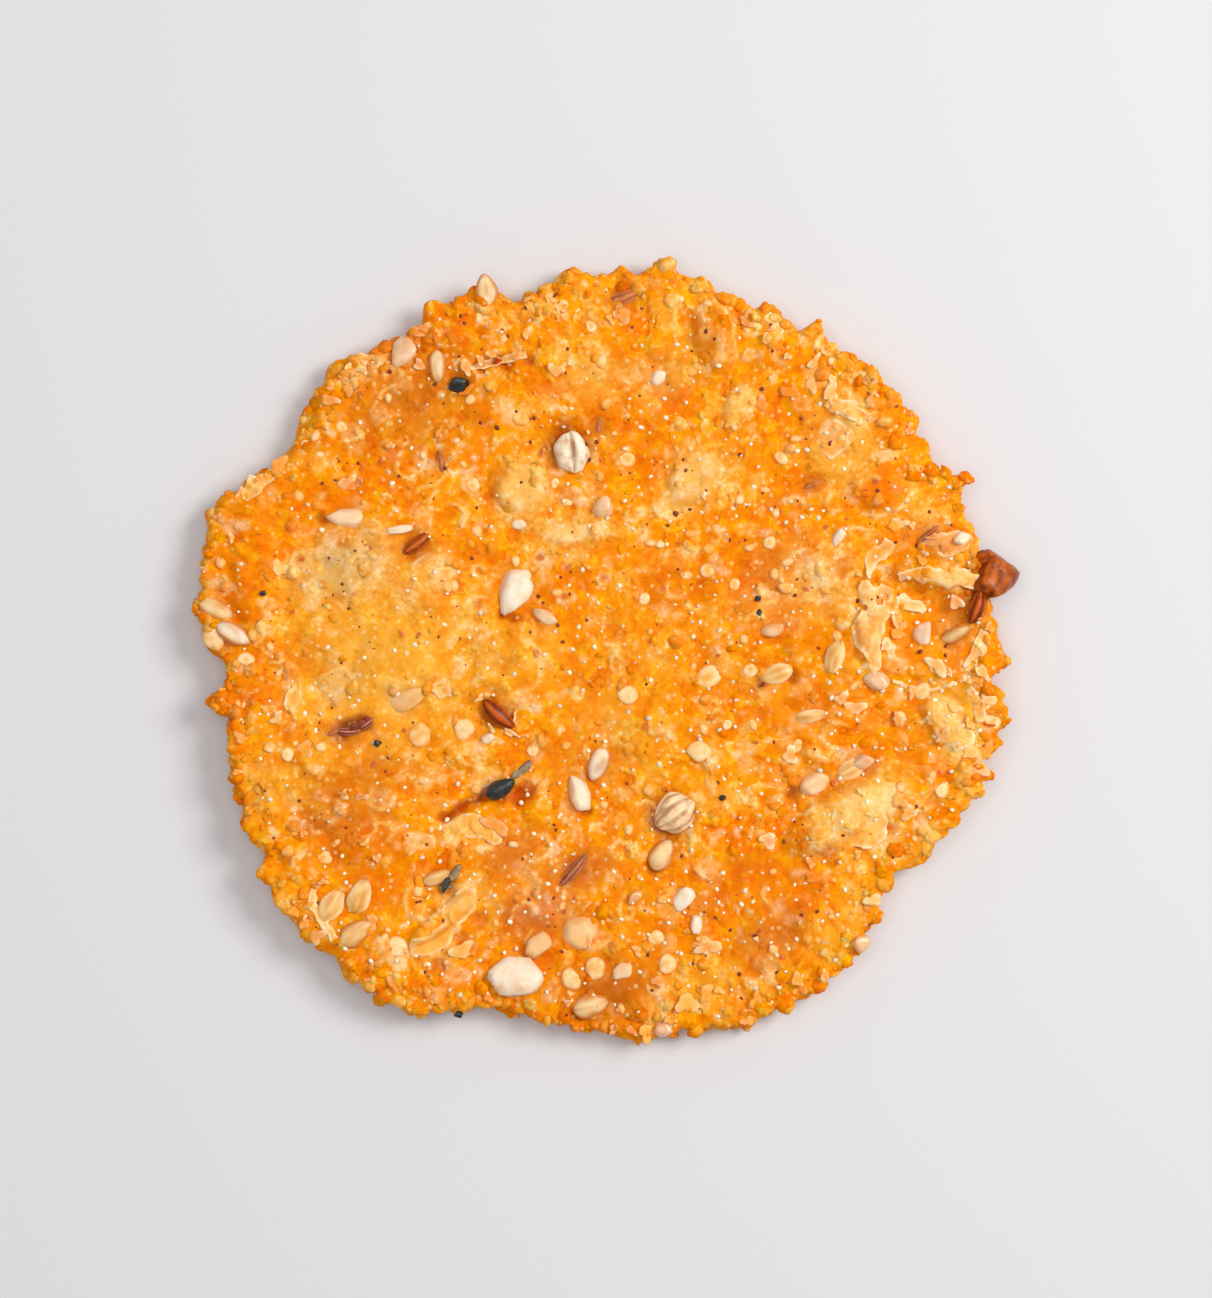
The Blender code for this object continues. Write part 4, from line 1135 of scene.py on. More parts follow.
def ridged_seeds(places, ridges, ridge_height, light, dark, back=False):
    """Slim seeds that bend a little, with ridges along them: the half width is multiplied by
    1 + ridge_height cos(ridges turn), and the ridges are lighter than the furrows."""
    x, y, turn, length, width, depth, lift, veil = np.array(places, float).T
    points_round = 24
    rings, start, end = seed_bodies(length, width, depth, taper=0.3, blunt=0.55, rows=14,
                                    around=points_round)
    wave = np.cos(ridges * (math.tau * np.arange(points_round) / points_round - math.pi / 2))
    rings[..., 1:] *= (1 + ridge_height * wave)[:, None]
    share = rings[..., 0] / length[:, None, None]
    rings[..., 1] += 0.5 * width[:, None, None] * (share**2 - 0.08)
    points, triangles = closed_bodies(rings, start, end)
    pale = with_ends(np.broadcast_to(0.5 + 0.5 * wave, rings.shape[:3]))[..., None]
    colours = blend(blend(dark, light, pale), VEILED, veil[:, None, None])
    return laid(points, x, y, turn, lift, back), triangles, colours


press_in([(-9.3, -4.9), (30.6, 4.0), (-16.2, 9.0)], reach=1.5, depth=0.35, stain_and_shade=screen(176, 70, 10),
         darkness=0.6)
make_piece(
    "brown_seeds", *ridged_seeds(BROWN_SEEDS, ridges=5, ridge_height=0.06, light=SEED_BROWN,
                                 dark=SEED_DARK),
    food_material("glossy brown seed", roughness=0.2, gloss=0.18, soak=0.05, mottle_scale=1600.0,
                  shade=(0.6, 0.42, 0.3), bump=0.25), "brown_seed",
)
press_in(CUMIN, reach=1.1, depth=0.08, stain_and_shade=screen(196, 92, 26), darkness=0.5)
press_in([(-22.3, -6.6), (-21.4, -6.2), (-20.6, -5.9)], reach=0.75, depth=0.1, stain_and_shade=screen(120, 36, 6),
         darkness=0.8)
make_piece(
    "cumin_seeds",
    *joined(
        ridged_seeds(CUMIN, ridges=6, ridge_height=0.09, light=CUMIN_RIDGE, dark=CUMIN_DARK),
        ridged_seeds(BACK_CUMIN, ridges=6, ridge_height=0.09, light=CUMIN_RIDGE, dark=CUMIN_DARK,
                     back=True),
    ),
    food_material("cumin", roughness=0.42, gloss=0.1, mottle_scale=1500.0, shade=(0.55, 0.42, 0.36),
                  bump=0.4), "brown_seed",
)

# Husk chip
# A curled piece of glossy red-brown husk, the size of a lentil, with a small chip beside it. The dough closed
# on them at the right edge, and they stand out of it.

# (x, y, turn in degrees, length, width, depth in mm)
HUSK_CHIPS = ((32.4, 6.4, 60, 4.1, 3.5, 2.3), (31.6, 8, 10, 1.5, 1.2, 1.1))
HUSK_LIGHT = screen(194, 92, 10)
HUSK_DARK = screen(112, 42, 4)


def husk_chip():
    """Lumps with fine lines along them: noise that raises them by 0.04 and makes them lighter."""
    x, y, turn, length, width, depth = np.array(HUSK_CHIPS, float).T
    (points, triangles), crease = broken_bodies(length, width, depth, seed=64, sides=5, rows=26, around=40,
                                                sharp=9)
    lines = noise_on(points * (0.5, 1.6, 1.6), 0.8, 65)
    points = points * (1 + 0.04 * lines)[..., None]
    pale = clamp(0.45 + 0.8 * lines + 0.5 * crease)[..., None]
    return laid(points, x, y, turn, lift=-0.65), triangles, blend(HUSK_DARK, HUSK_LIGHT, pale)


press_in([(31.4, 6.2)], reach=1.9, depth=0.25, stain_and_shade=screen(160, 66, 16), darkness=0.7)
make_piece(
    "husk_chips", *husk_chip(),
    food_material("red-brown husk", roughness=0.18, gloss=0.22, soak=0.1, mottle_scale=1300.0,
                  shade=(0.5, 0.36, 0.26), bump=0.5), "brown_seed",
)

# Black seed and black chips
# A nigella seed in a small hollow stained red-brown, at the end of a crack, and chips of burnt hull, one of
# them square. Grey slivers of a seed's own hull lie beside it and lower on the face.

# (x, y, turn in degrees, length, width, depth in mm)
BLACK_SEEDS = ((-9.1, -11.4, 30, 2.7, 1.5, 1.1),)
BLACK_CHIPS = (
    (-12.6, 22.6, 20, 1.4, 1.3, 0.9), (-19.5, -7.6, 0, 0.6, 0.6, 0.4), (-29, 5, 0, 0.5, 0.4, 0.4),
    (-12.6, -30.4, 0, 0.7, 0.5, 0.4), (12.6, 4.6, 30, 0.5, 0.4, 0.3), (12.7, 3.4, 80, 0.5, 0.4, 0.3),
    (-13.7, -19.5, 70, 1.3, 0.4, 0.4), (9.6, -12.2, 0, 0.5, 0.4, 0.3),
)
# Slivers of a grey hull: the same measures
GREY_SLIVERS = (
    (-7.3, -9.8, 38, 2.6, 0.8, 0.5), (-12.9, -18.5, 60, 1.7, 0.6, 0.4), (-13.7, -19.7, 10, 1.2, 0.4, 0.4),
)
SOOT = screen(26, 32, 30)
SLATE = screen(74, 84, 82)
GREY_HULL = screen(176, 150, 104)
GREY_SHADE = screen(112, 92, 62)


def black_seeds():
    """One three-sided seed, whose radius is multiplied by 1 + 0.1 cos(3 turn) less a net of pits, the broken
    chips and the slivers."""
    x, y, turn, length, width, depth = np.array(BLACK_SEEDS, float).T
    points_round = 24
    rings, start, end = seed_bodies(length, width, depth, taper=0.35, blunt=0.5, rows=18,
                                    around=points_round)
    corner = 1 + 0.1 * np.cos(3 * (math.tau * np.arange(points_round) / points_round - math.pi / 2))
    net = np.abs(noise_on(rings, 0.35, 66))
    rings[..., 1:] *= (corner * (1.05 - 0.25 * net))[..., None]
    points, triangles = closed_bodies(rings, start, end)
    shine = clamp(with_ends(net)[..., None])
    seed = laid(points, x, y, turn, lift=0.15), triangles, blend(SOOT, SLATE, shine)
    x, y, turn, length, width, depth = np.array(BLACK_CHIPS, float).T
    (points, triangles), crease = broken_bodies(length, width, depth, seed=67, sides=4)
    chips = laid(points, x, y, turn, lift=0.1), triangles, blend(SOOT, SLATE, (0.7 * crease)[..., None])
    x, y, turn, length, width, depth = np.array(GREY_SLIVERS, float).T
    (points, triangles), crease = broken_bodies(length, width, depth, seed=68, sides=5)
    pale = clamp(0.3 + 0.7 * crease + 0.8 * noise_on(points, 0.4, 69))
    slivers = laid(points, x, y, turn, lift=-0.05), triangles, blend(GREY_SHADE, GREY_HULL, pale[..., None])
    return joined(seed, chips, slivers)


press_in([(-9.3, -11.6)], reach=1.3, depth=0.2, stain_and_shade=screen(170, 66, 10), darkness=0.7)
press_in([(-7.6, -12.2), (-7.1, -11.7)], reach=0.85, depth=0.35, stain_and_shade=screen(196, 78, 14), darkness=0.85)
press_in([(-12.6, 22.6), (-13.6, -19.6)], reach=1.0, depth=0.15, stain_and_shade=screen(140, 66, 20), darkness=0.6)
make_piece(
    "black_seeds", *black_seeds(),
    food_material("black hull", roughness=0.24, gloss=0.5, mottle_scale=1800.0, shade=(0.5, 0.5, 0.5),
                  bump=0.5), "black_seed",
)

# Torn skin
# Where blisters broke in the frying, thin flakes of the skin stand up with jagged edges, most of them at the
# right. They are pale because the oil dried them.

# Flakes with a plain shape: how they are coloured, how far they stand off the face, and (x, y) round them
FLAKES = (
    ("cream", 0.3, ((23.3, 9.7), (24, 9.1), (23.7, 8.2), (22.9, 7.8), (22.3, 6.9), (21.7, 6.4), (21.5, 7.7),
        (22, 9), (22.7, 9.1))),
    ("cream", 0.35, ((21.2, 6), (22, 6.1), (22.3, 5.5), (22.8, 6), (24, 5.2), (23.8, 3.6), (23.4, 2.4),
        (22.9, 1.2), (23, 0.2), (22.8, -1.2), (22.3, -2), (21.9, -1.4), (21.5, -0.1), (20.7, 0.5),
        (20.3, 2.1), (20.9, 3.2), (21.5, 3.9), (21, 4.9))),
    ("cream", 0.32, ((23.7, 6.4), (24.5, 6), (25.4, 6.1), (26.4, 5.7), (27.3, 5.9), (28.3, 5.3),
        (29.4, 5.7), (30.7, 5.1), (31.2, 5.8), (30.9, 6.7), (29.6, 7.1), (28.2, 7), (26.7, 7.5),
        (25.4, 7.1), (24.5, 6.8))),
    ("cream", 0.25, ((24.2, 4.8), (25.3, 4.7), (26.4, 4.2), (26.5, 3.4), (25.4, 3.6), (24.6, 4))),
    ("white", 0.25, ((22.9, 1.2), (23.6, 1.3), (24.2, 0.7), (24.1, -0.4), (23.5, -0.7), (23.2, 0.2))),
    ("cream", 0.22, ((26.7, -0.7), (27.8, -0.8), (28.9, -1.4), (28.9, -2.3), (27.9, -1.8), (27, -1.5))),
    ("skin", 0.08, ((27.4, -3.7), (28.5, -4.3), (29.4, -5.6), (30.9, -6.8), (31.1, -7.8), (30.2, -8.4),
        (28.8, -8), (27.6, -7), (26.5, -5.8), (26.9, -4.6))),
    ("skin", 0.09, ((18.9, -12.9), (19.7, -12.4), (21.7, -12.1), (23, -12.9), (23.6, -14.1), (23.4, -15.4),
        (22.2, -16.3), (20, -16.4), (18.9, -15.4), (18.6, -14))),
    ("skin", 0.3, ((-11.2, -19.7), (-12.6, -20), (-14, -21.3), (-13.8, -22.6), (-14.9, -23.6),
        (-16.7, -24.2), (-16.5, -25.7), (-14.8, -25.4), (-13.3, -24.3), (-12.6, -22.8), (-11.1, -21.7))),
    ("skin", 0.3, ((-14.2, -14.7), (-13, -13.9), (-11.6, -13.4), (-10.4, -13.8), (-9.6, -14.7),
        (-8.8, -15.9), (-9.6, -16.3), (-10.8, -15.6), (-12.4, -15.5), (-13.4, -15.6))),
    ("cream", 0.25, ((-15.6, -3), (-14.8, -2.8), (-14.2, -2.1), (-13.4, -2.3), (-13.2, -3.5),
        (-14.3, -3.8))),
    ("tan", 0.07, ((25.7, 9), (26.8, 9.8), (28.6, 10.2), (30.3, 10.2), (30.9, 9.4), (30, 8.5), (28.2, 8.2),
        (26.8, 8))),
    ("cream", 0.2, ((31.2, 2), (32, 1.6), (31.6, 0.2), (31, -0.6), (30.4, -2.2), (29.6, -2.5), (30, -1.2),
        (30.6, 0.4))),
)
# Holes in the flakes: (x, y, radius in mm)
SHEET_HOLES = ((22.8, 4.3, 0.32), (21.5, 3.8, 0.25), (24.1, 6.35, 0.3), (30.6, -0.9, 0.22))
SHEET_STEP = 0.11  # mm between the points of a flake
# Long strips of torn skin: how they are coloured, how far they stand off, and (x, y, half width) along them
STRIPS = (
    ("white", 0.2, ((24, -2.3, 0.12), (25.5, -3, 0.2), (27.4, -3.2, 0.15), (29.3, -2.5, 0.2))),
    ("skin", 0.25, ((18.3, 21.1, 0.3), (19.6, 20.7, 0.6), (20.8, 20.2, 0.7), (22, 19.8, 0.3))),
    ("cream", 0.25, ((18.1, 23.5, 0.2), (18.8, 22.8, 0.35), (18.7, 21.8, 0.25))),
    ("tan", 0.12, ((18.3, 16.5, 0.6), (18.9, 17.9, 1.3), (19.7, 19.4, 0.8))),
    ("skin", 0.25, ((-26.9, -5, 0.4), (-26.5, -3.8, 0.7), (-26, -2.6, 0.4))),
    ("skin", 0.28, ((-12, 23.9, 0.2), (-10, 24.6, 0.4), (-7, 25, 0.3))),
    ("cream", 0.22, ((12.7, -15.8, 0.2), (13.5, -15.8, 0.7), (14.3, -15.8, 0.2))),
    ("cream", 0.25, ((28.8, -8, 0.3), (29.8, -7.5, 0.6), (30.8, -7.1, 0.3))),
    ("skin", 0.22, ((-22.2, 23.8, 0.3), (-20.9, 24.6, 0.7), (-19.4, 24.6, 0.4))),
    ("cream", 0.15, ((-24.6, -19.4, 0.2), (-25, -21, 0.4), (-24, -22.8, 0.4), (-22.6, -24.6, 0.3))),
    ("skin", 0.25, ((13.2, 26, 0.4), (14.2, 27.4, 0.8), (13.3, 28.6, 0.5))),
    ("skin", 0.25, ((-30.8, 13, 0.5), (-29.6, 14.3, 0.8), (-28.2, 15.2, 0.4))),
    ("cream", 0.22, ((7, -24.5, 0.2), (8.2, -24.9, 0.4), (9.5, -24.5, 0.2))),
    ("skin", 0.22, ((30.2, -2.9, 0.3), (31.2, -4.2, 0.6), (31.2, -5.8, 0.4))),
)
FLAKE_COLOURS = {
    "white": screen(254, 230, 184), "cream": screen(252, 208, 140), "skin": screen(251, 192, 106),
    "tan": screen(240, 170, 100),
}
FLAKE_THICKNESS = 0.15


def dough_at(x, y):
    """Colour of the face's dough at each place."""
    return dough_colour(x, y, *skin_grain(x, y, FACE_SEED)[1:], FACE_SEED, TONES)[:, :3]


def inside_distance(x, y, corners):
    """How far each place lies inside a polygon, in mm, or outside it as a negative number."""
    start = np.array(corners, float)
    end = np.roll(start, -1, axis=0)
    run = end - start
    away = np.stack([x, y], axis=-1)[:, None] - start
    along = clamp((away * run).sum(axis=-1) / (run**2).sum(axis=-1))
    gap = np.linalg.norm(away - along[..., None] * run, axis=-1).min(axis=1)
    over = (start[:, 1] > y[:, None]) != (end[:, 1] > y[:, None])
    cut = start[:, 0] + run[:, 0] * (y[:, None] - start[:, 1]) / np.where(run[:, 1] == 0, 1e-9, run[:, 1])
    crossings = (over & (x[:, None] < cut)).sum(axis=1)
    return np.where(crossings % 2 == 1, gap, -gap)


def strip_corners(path):
    """The corners round a strip that has a half width at each point of its path."""
    x, y, half = np.array(path, float).T
    ahead_x, ahead_y = np.gradient(x), np.gradient(y)
    length = np.hypot(ahead_x, ahead_y)
    side_x, side_y = -ahead_y / length * half, ahead_x / length * half
    left, right = np.stack([x + side_x, y + side_y], axis=1), np.stack([x - side_x, y - side_y], axis=1)
    return np.concatenate([left, right[::-1]])


def without_corner_joins(kept):
    """The cells of a grid, filled in where two of them would touch at a corner only."""
    kept = kept.copy()
    for _ in range(3):
        a, b, c, d = kept[:-1, :-1], kept[1:, :-1], kept[:-1, 1:], kept[1:, 1:]
        falling, rising = a & d & ~b & ~c, b & c & ~a & ~d
        b |= falling
        a |= rising
    return kept


def torn_sheet(number, shade, stand, corners):
    """A flake cut out of a fine grid, inside a polygon that noise moves about.

    Its edge points are drawn onto the outline. It follows the face, and towards its edge it curls off or
    sinks in, as noise times exp(-reach / 0.4 mm). Where it is loose it has its own colour.
    """
    corners = np.array(corners, float)
    low, high = corners.min(axis=0) - 0.5, corners.max(axis=0) + 0.5
    columns, rows = np.ceil((high - low) / SHEET_STEP).astype(int)

    def reach(x, y):
        """How far each place lies inside the ragged polygon or outside a hole, in mm: the least of them."""
        depth = inside_distance(*uneven(x, y, 150 + number, push=0.26), corners)
        for hole_x, hole_y, radius in SHEET_HOLES:
            depth = np.minimum(depth, np.hypot(x - hole_x, y - hole_y) - radius)
        return depth

    across, up = np.indices((columns + 1, rows + 1)).reshape(2, -1)
    x, y = low[0] + SHEET_STEP * across, low[1] + SHEET_STEP * up
    middle = (across < columns) & (up < rows)
    kept = reach(x[middle] + SHEET_STEP / 2, y[middle] + SHEET_STEP / 2) > 0
    kept = without_corner_joins(np.pad(kept.reshape(columns, rows), 1))
    at = np.arange((columns + 1) * (rows + 1)).reshape(columns + 1, rows + 1)
    corner = np.stack([at[:-1, :-1], at[1:, :-1], at[1:, 1:], at[:-1, 1:]], axis=-1)
    inner = kept[1:-1, 1:-1]
    faces = corner[inner]
    walls = []
    for side, beside in enumerate((kept[1:-1, :-2], kept[2:, 1:-1], kept[1:-1, 2:], kept[:-2, 1:-1])):
        open_side = inner & ~beside
        walls.append(np.stack([corner[open_side][:, side], corner[open_side][:, (side + 1) % 4]], axis=1))
    walls = np.concatenate(walls)
    border = np.unique(walls)
    small, furthest = 0.02, 0.06  # mm over which the way out is read, and by which a point moves at most
    for _ in range(2):
        here = reach(x[border], y[border])
        slope_x = (reach(x[border] + small, y[border]) - here) / small
        slope_y = (reach(x[border], y[border] + small) - here) / small
        move = here / np.maximum(slope_x**2 + slope_y**2, 0.3)
        x[border] -= np.clip(move * slope_x, -furthest, furthest)
        y[border] -= np.clip(move * slope_y, -furthest, furthest)
    used = np.unique(faces)
    rank = np.zeros(at.size, int)
    rank[used] = np.arange(len(used))
    x, y = x[used], y[used]
    faces, walls = rank[faces], rank[walls]
    depth = np.clip(reach(x, y), 0, None)
    flat = flat_points(x, y, number)
    curl = np.exp(-depth / 0.4) * (0.1 + 1.3 * noise(flat, 1.6, 87))
    loose = 1 - 0.7 * clamp(1.6 * noise(flat, 2.6, 90))
    top = surface_level(x, y) + loose * (0.45 * (stand - 0.1) + stand * curl)
    top = top + 0.05 * noise(flat, 0.8, 83)
    below = len(used)
    points = np.concatenate([np.stack([x, y, top], axis=1), np.stack([x, y, top - FLAKE_THICKNESS], axis=1)])
    sides = np.stack([walls[:, 1], walls[:, 0], walls[:, 0] + below, walls[:, 1] + below], axis=1)
    triangles = np.concatenate([split_quads(faces), split_quads(faces[:, ::-1] + below), split_quads(sides)])
    body = FLAKE_COLOURS[shade]
    spot = noise(flat, 1.2, 84) + 0.5 * noise(flat, 0.5, 85)
    spot = spot + 0.5 * noise(flat, 0.27, 89)
    colour = blend(body, FRIED_DOUGH, np.clip(0.27 + 0.7 * spot, 0, 0.7)[:, None])
    colour = blend(colour, dough_at(x, y), (1 - loose)[:, None])
    bright = np.exp(-((depth / 0.22) ** 2)) * clamp(0.6 + 0.9 * noise(flat, 0.9, 88))
    colour = blend(colour, FLAKE_COLOURS["white"], bright[:, None])
    return points, triangles, np.concatenate([colour, colour])


# Loose scraps that show on their own: (x, y, length, width in mm, turn in degrees, how pale)
SCRAPS = (
    (25.4, 4.2, 2.2, 1.2, -20, 0.9), (27.6, -1.1, 1.9, 1.2, -30, 0.8), (30.8, 0.2, 2.6, 0.8, 60, 0.8),
    (31.4, -1.6, 1.6, 0.8, 110, 0.6), (23.3, 0.6, 1.2, 0.8, 40, 0.9), (20.8, -4.6, 1.6, 1.2, 10, 0.8),
    (19.6, -3.8, 1.1, 1, 0, 0.7), (15.3, -8.6, 1.4, 1.3, 0, 0.8), (18.7, 21.8, 1.8, 1.1, 70, 0.7),
    (20.6, 20.6, 2.2, 1.1, 160, 0.5), (13.5, -15.9, 1.3, 1.1, 0, 0.9), (-9.5, -14.6, 2.2, 1.2, 150, 0.3),
    (-12.4, -25, 2, 1.3, 50, 0.4), (8.4, -24.8, 2, 1, 10, 0.6), (24.5, 10.9, 1.3, 1, 0, 0.5),
    (29.3, 4.3, 1.5, 0.9, 110, 0.7), (24.3, 2.7, 1.4, 0.7, 100, 0.8), (-27.8, 15.8, 1.8, 1.2, 40, 0.3),
    (31, -9.4, 1.9, 1.6, -30, 0.4), (-8.3, -6.7, 1.3, 0.5, -35, 1), (6.6, -29.5, 2, 1.6, 70, 0.3),
    (-10.9, -3.8, 0.9, 0.4, 30, 0.9), (-9.9, -6.3, 0.8, 0.35, -60, 0.8), (-7.9, -5.4, 0.7, 0.3, 80, 0.9),
)
SPARE_SCRAPS = 150


def skin_scraps():
    """Thin scraps with a lobed outline, most of them near the edge: the radius is 1 with the second, third,
    fifth and eighth harmonic. Each curls up along one side, by the square of the way across it."""
    draw = np.random.default_rng(86)
    turn = draw.uniform(0, math.tau, SPARE_SCRAPS)
    reach = outline_radius(turn) - 0.5 - 9 * draw.uniform(0, 1, SPARE_SCRAPS) ** 2.6
    size = 0.65 + 1.0 * draw.uniform(0, 1, SPARE_SCRAPS) ** 2
    spare = np.stack([
        reach * np.cos(turn), reach * np.sin(turn), size, size * draw.uniform(0.5, 0.9, SPARE_SCRAPS),
        draw.uniform(0, 360, SPARE_SCRAPS), draw.uniform(0, 0.6, SPARE_SCRAPS),
    ], axis=1)
    x, y, length, width, lie, pale = np.concatenate([SCRAPS, spare]).T
    count = len(x)
    points_round = 24
    around = math.tau * np.arange(points_round) / points_round
    lobes = np.ones((count, points_round))
    for harmonic, share in ((2, 0.24), (3, 0.22), (5, 0.08), (8, 0.05)):
        lobes += share * np.cos(harmonic * around + draw.uniform(0, math.tau, (count, 1)))
    out = np.array([0.5, 0.92, 1.0, 0.92, 0.5])[None, :, None] * lobes[:, None]
    level = np.array([1.0, 1.0, 0.0, -1.0, -1.0])[None, :, None] * FLAKE_THICKNESS / 2
    long_half, wide_half = 0.5 * length[:, None, None], 0.5 * width[:, None, None]
    along, across = long_half * out * np.cos(around), wide_half * out * np.sin(around)
    curl = draw.uniform(0.02, 0.12, (count, 1, 1)) * (across / wide_half + 0.7) ** 2
    rings = np.stack([along, across, level + curl], axis=-1)
    points, triangles = closed_bodies(rings[:, ::-1], rings[:, -1].mean(axis=1), rings[:, 0].mean(axis=1))
    edge = with_ends(np.broadcast_to(out[:, ::-1], rings.shape[:3]))
    local = dough_at(x, y)[:, None]
    share = clamp(pale[:, None] * (0.25 + 0.75 * edge**2))[..., None]
    return laid(points, x, y, lie, lift=0.03), triangles, blend(local, FLAKE_COLOURS["white"], share)


press_in([(25.6, 4.9), (26.9, 2.6), (24.4, 1.3), (25.4, 0.4), (28.2, 4.2)], reach=1.2, depth=0.25,
         stain_and_shade=screen(238, 132, 10), darkness=0.7)
press_in([(-14.0, -13.9), (-12.3, -12.9), (-10.6, -12.1)], reach=0.6, depth=0.2, stain_and_shade=screen(190, 72, 6),
         darkness=0.6)
press_in([(-12.2, -24.3), (-11.0, -22.6), (-14.5, -26.4), (23.2, -14.6), (21.2, -16.0), (18.6, -17.2)],
         reach=0.9, depth=0.2, stain_and_shade=screen(214, 96, 8), darkness=0.7)
press_in([(-10.6, 24.0), (-8.6, 24.4), (-6.8, 24.6)], reach=0.6, depth=0.2, stain_and_shade=screen(186, 70, 8),
         darkness=0.8)
make_piece(
    "torn_skin_flakes",
    *joined(
        skin_scraps(),
        *(torn_sheet(number, *look, corners) for number, (*look, corners) in enumerate(FLAKES)),
        *(torn_sheet(40 + number, *look, strip_corners(path)) for number, (*look, path) in enumerate(STRIPS)),
    ),
    food_material("dried skin", roughness=0.4, gloss=0.05, mottle_scale=1500.0, shade=(1.0, 0.80, 0.46),
                  bump=0.3), "crust",
)

# Rice granules
# Coarse grains of rice flour that swelled but kept their shape: pale round beads, flattened by the press,
# from the size of poppy seeds up to 2 mm.

# (x, y, length, width in mm)
GRANULES = (
    (-3.1, -27.4, 1.9, 1.7), (-1.1, -26.5, 1.5, 2.1), (-17.8, -24.7, 1.8, 2), (-15.9, -6.9, 1.9, 1.8),
    (-12.2, -6.4, 1.8, 1.7), (7.6, -8.2, 1.6, 2), (8.5, -2, 2.2, 1.8), (1.6, -3.5, 1.6, 1.5),
    (8.3, 7, 1.2, 1.1), (13.5, 9.3, 1.1, 1), (10.6, 5.8, 1, 0.9), (11.9, -1.5, 1.2, 1.3),
    (32, -3.8, 1.1, 1.4), (32.2, -5.8, 1.5, 1.3), (-11.4, 14.2, 1.3, 1.1), (-23.9, -17, 1.5, 1.3),
    (-33.2, 1.2, 2, 1.8), (-4.5, 14.3, 0.8, 0.8), (-3.4, 12.8, 0.7, 0.6), (1.5, 16.4, 1.5, 1.2),
    (5, -26.2, 1.6, 1.5), (4, -24, 1.4, 1.2), (-20.6, -15.8, 0.9, 0.8), (-30.5, -0.5, 1.4, 1),
    (14.5, 16.5, 1.5, 0.9), (-25.5, 17.5, 1, 0.8), (3, 4.6, 1.1, 0.9), (24.5, -5.5, 1.3, 1),
    (-27, -8.5, 1.2, 1), (-6.4, -8.2, 1.1, 0.9), (26.4, -3.2, 1.5, 1.2), (10, -6, 0.9, 0.8),
    (-1.5, 27.5, 1, 0.8), (-22.5, 19, 1.1, 0.9), (15.9, -7.8, 1, 0.8), (28, -11.5, 1.3, 1),
)
SMALL_GRANULES, BACK_GRANULES = 260, 240
GRANULE_PALE = screen(253, 218, 164)
GRANULE_YELLOW = screen(250, 178, 84)


def scattered(count, seed, reach, density=None, on_face=True):
    """Random places in the disc, in mm, off the dents, kept where a draw is under the density there."""
    draw = np.random.default_rng(seed)
    turn, out = draw.uniform(0, math.tau, 6 * count), np.sqrt(draw.uniform(0, 1, 6 * count))
    out *= outline_radius(turn) - reach
    x, y = out * np.cos(turn), out * np.sin(turn)
    keep = np.ones(len(x), bool) if density is None else draw.uniform(size=len(x)) < density(x, y)
    if on_face:
        for middle_x, middle_y, dent in pressed:
            keep &= np.hypot(x - middle_x, y - middle_y) > 0.95 * dent
    x, y = x[keep], y[keep]
    return x[:count], y[:count], draw


def beads(x, y, turn, length, width, depth, lift, seed, rows, around, back=False, lumps=0.24):
    """Flattened beads of uneven shape: an ellipsoid whose radius changes with noise by the share in lumps.

    Also gives how far each point lies from its bead's middle, seen from above, as a share of its radius.
    """
    rings, start, end = seed_bodies(length, width, depth, taper=0.1, blunt=0.5, rows=rows, around=around)
    points, triangles = closed_bodies(rings, start, end)
    size = np.asarray(length, float)[:, None, None]
    apart = np.arange(len(points))[:, None, None] * 3.7  # far enough that no two beads read the same noise
    own = points / size * 1.9 + apart
    swell = 1 + lumps * noise_on(own, 1.0, seed)
    edge = np.hypot(points[..., 0] / length[:, None], points[..., 1] / np.asarray(width, float)[:, None]) * 2
    return laid(points * swell[..., None], x, y, turn, lift, back), triangles, edge


def sunk_colour(inner, around_it, edge, soft=0.55):
    """The bead's own colour in its middle, going over into the dough's colour towards its edge."""
    share = clamp((edge - soft) / (1.02 - soft))[..., None] ** 1.3
    return blend(inner, around_it[:, None], share)


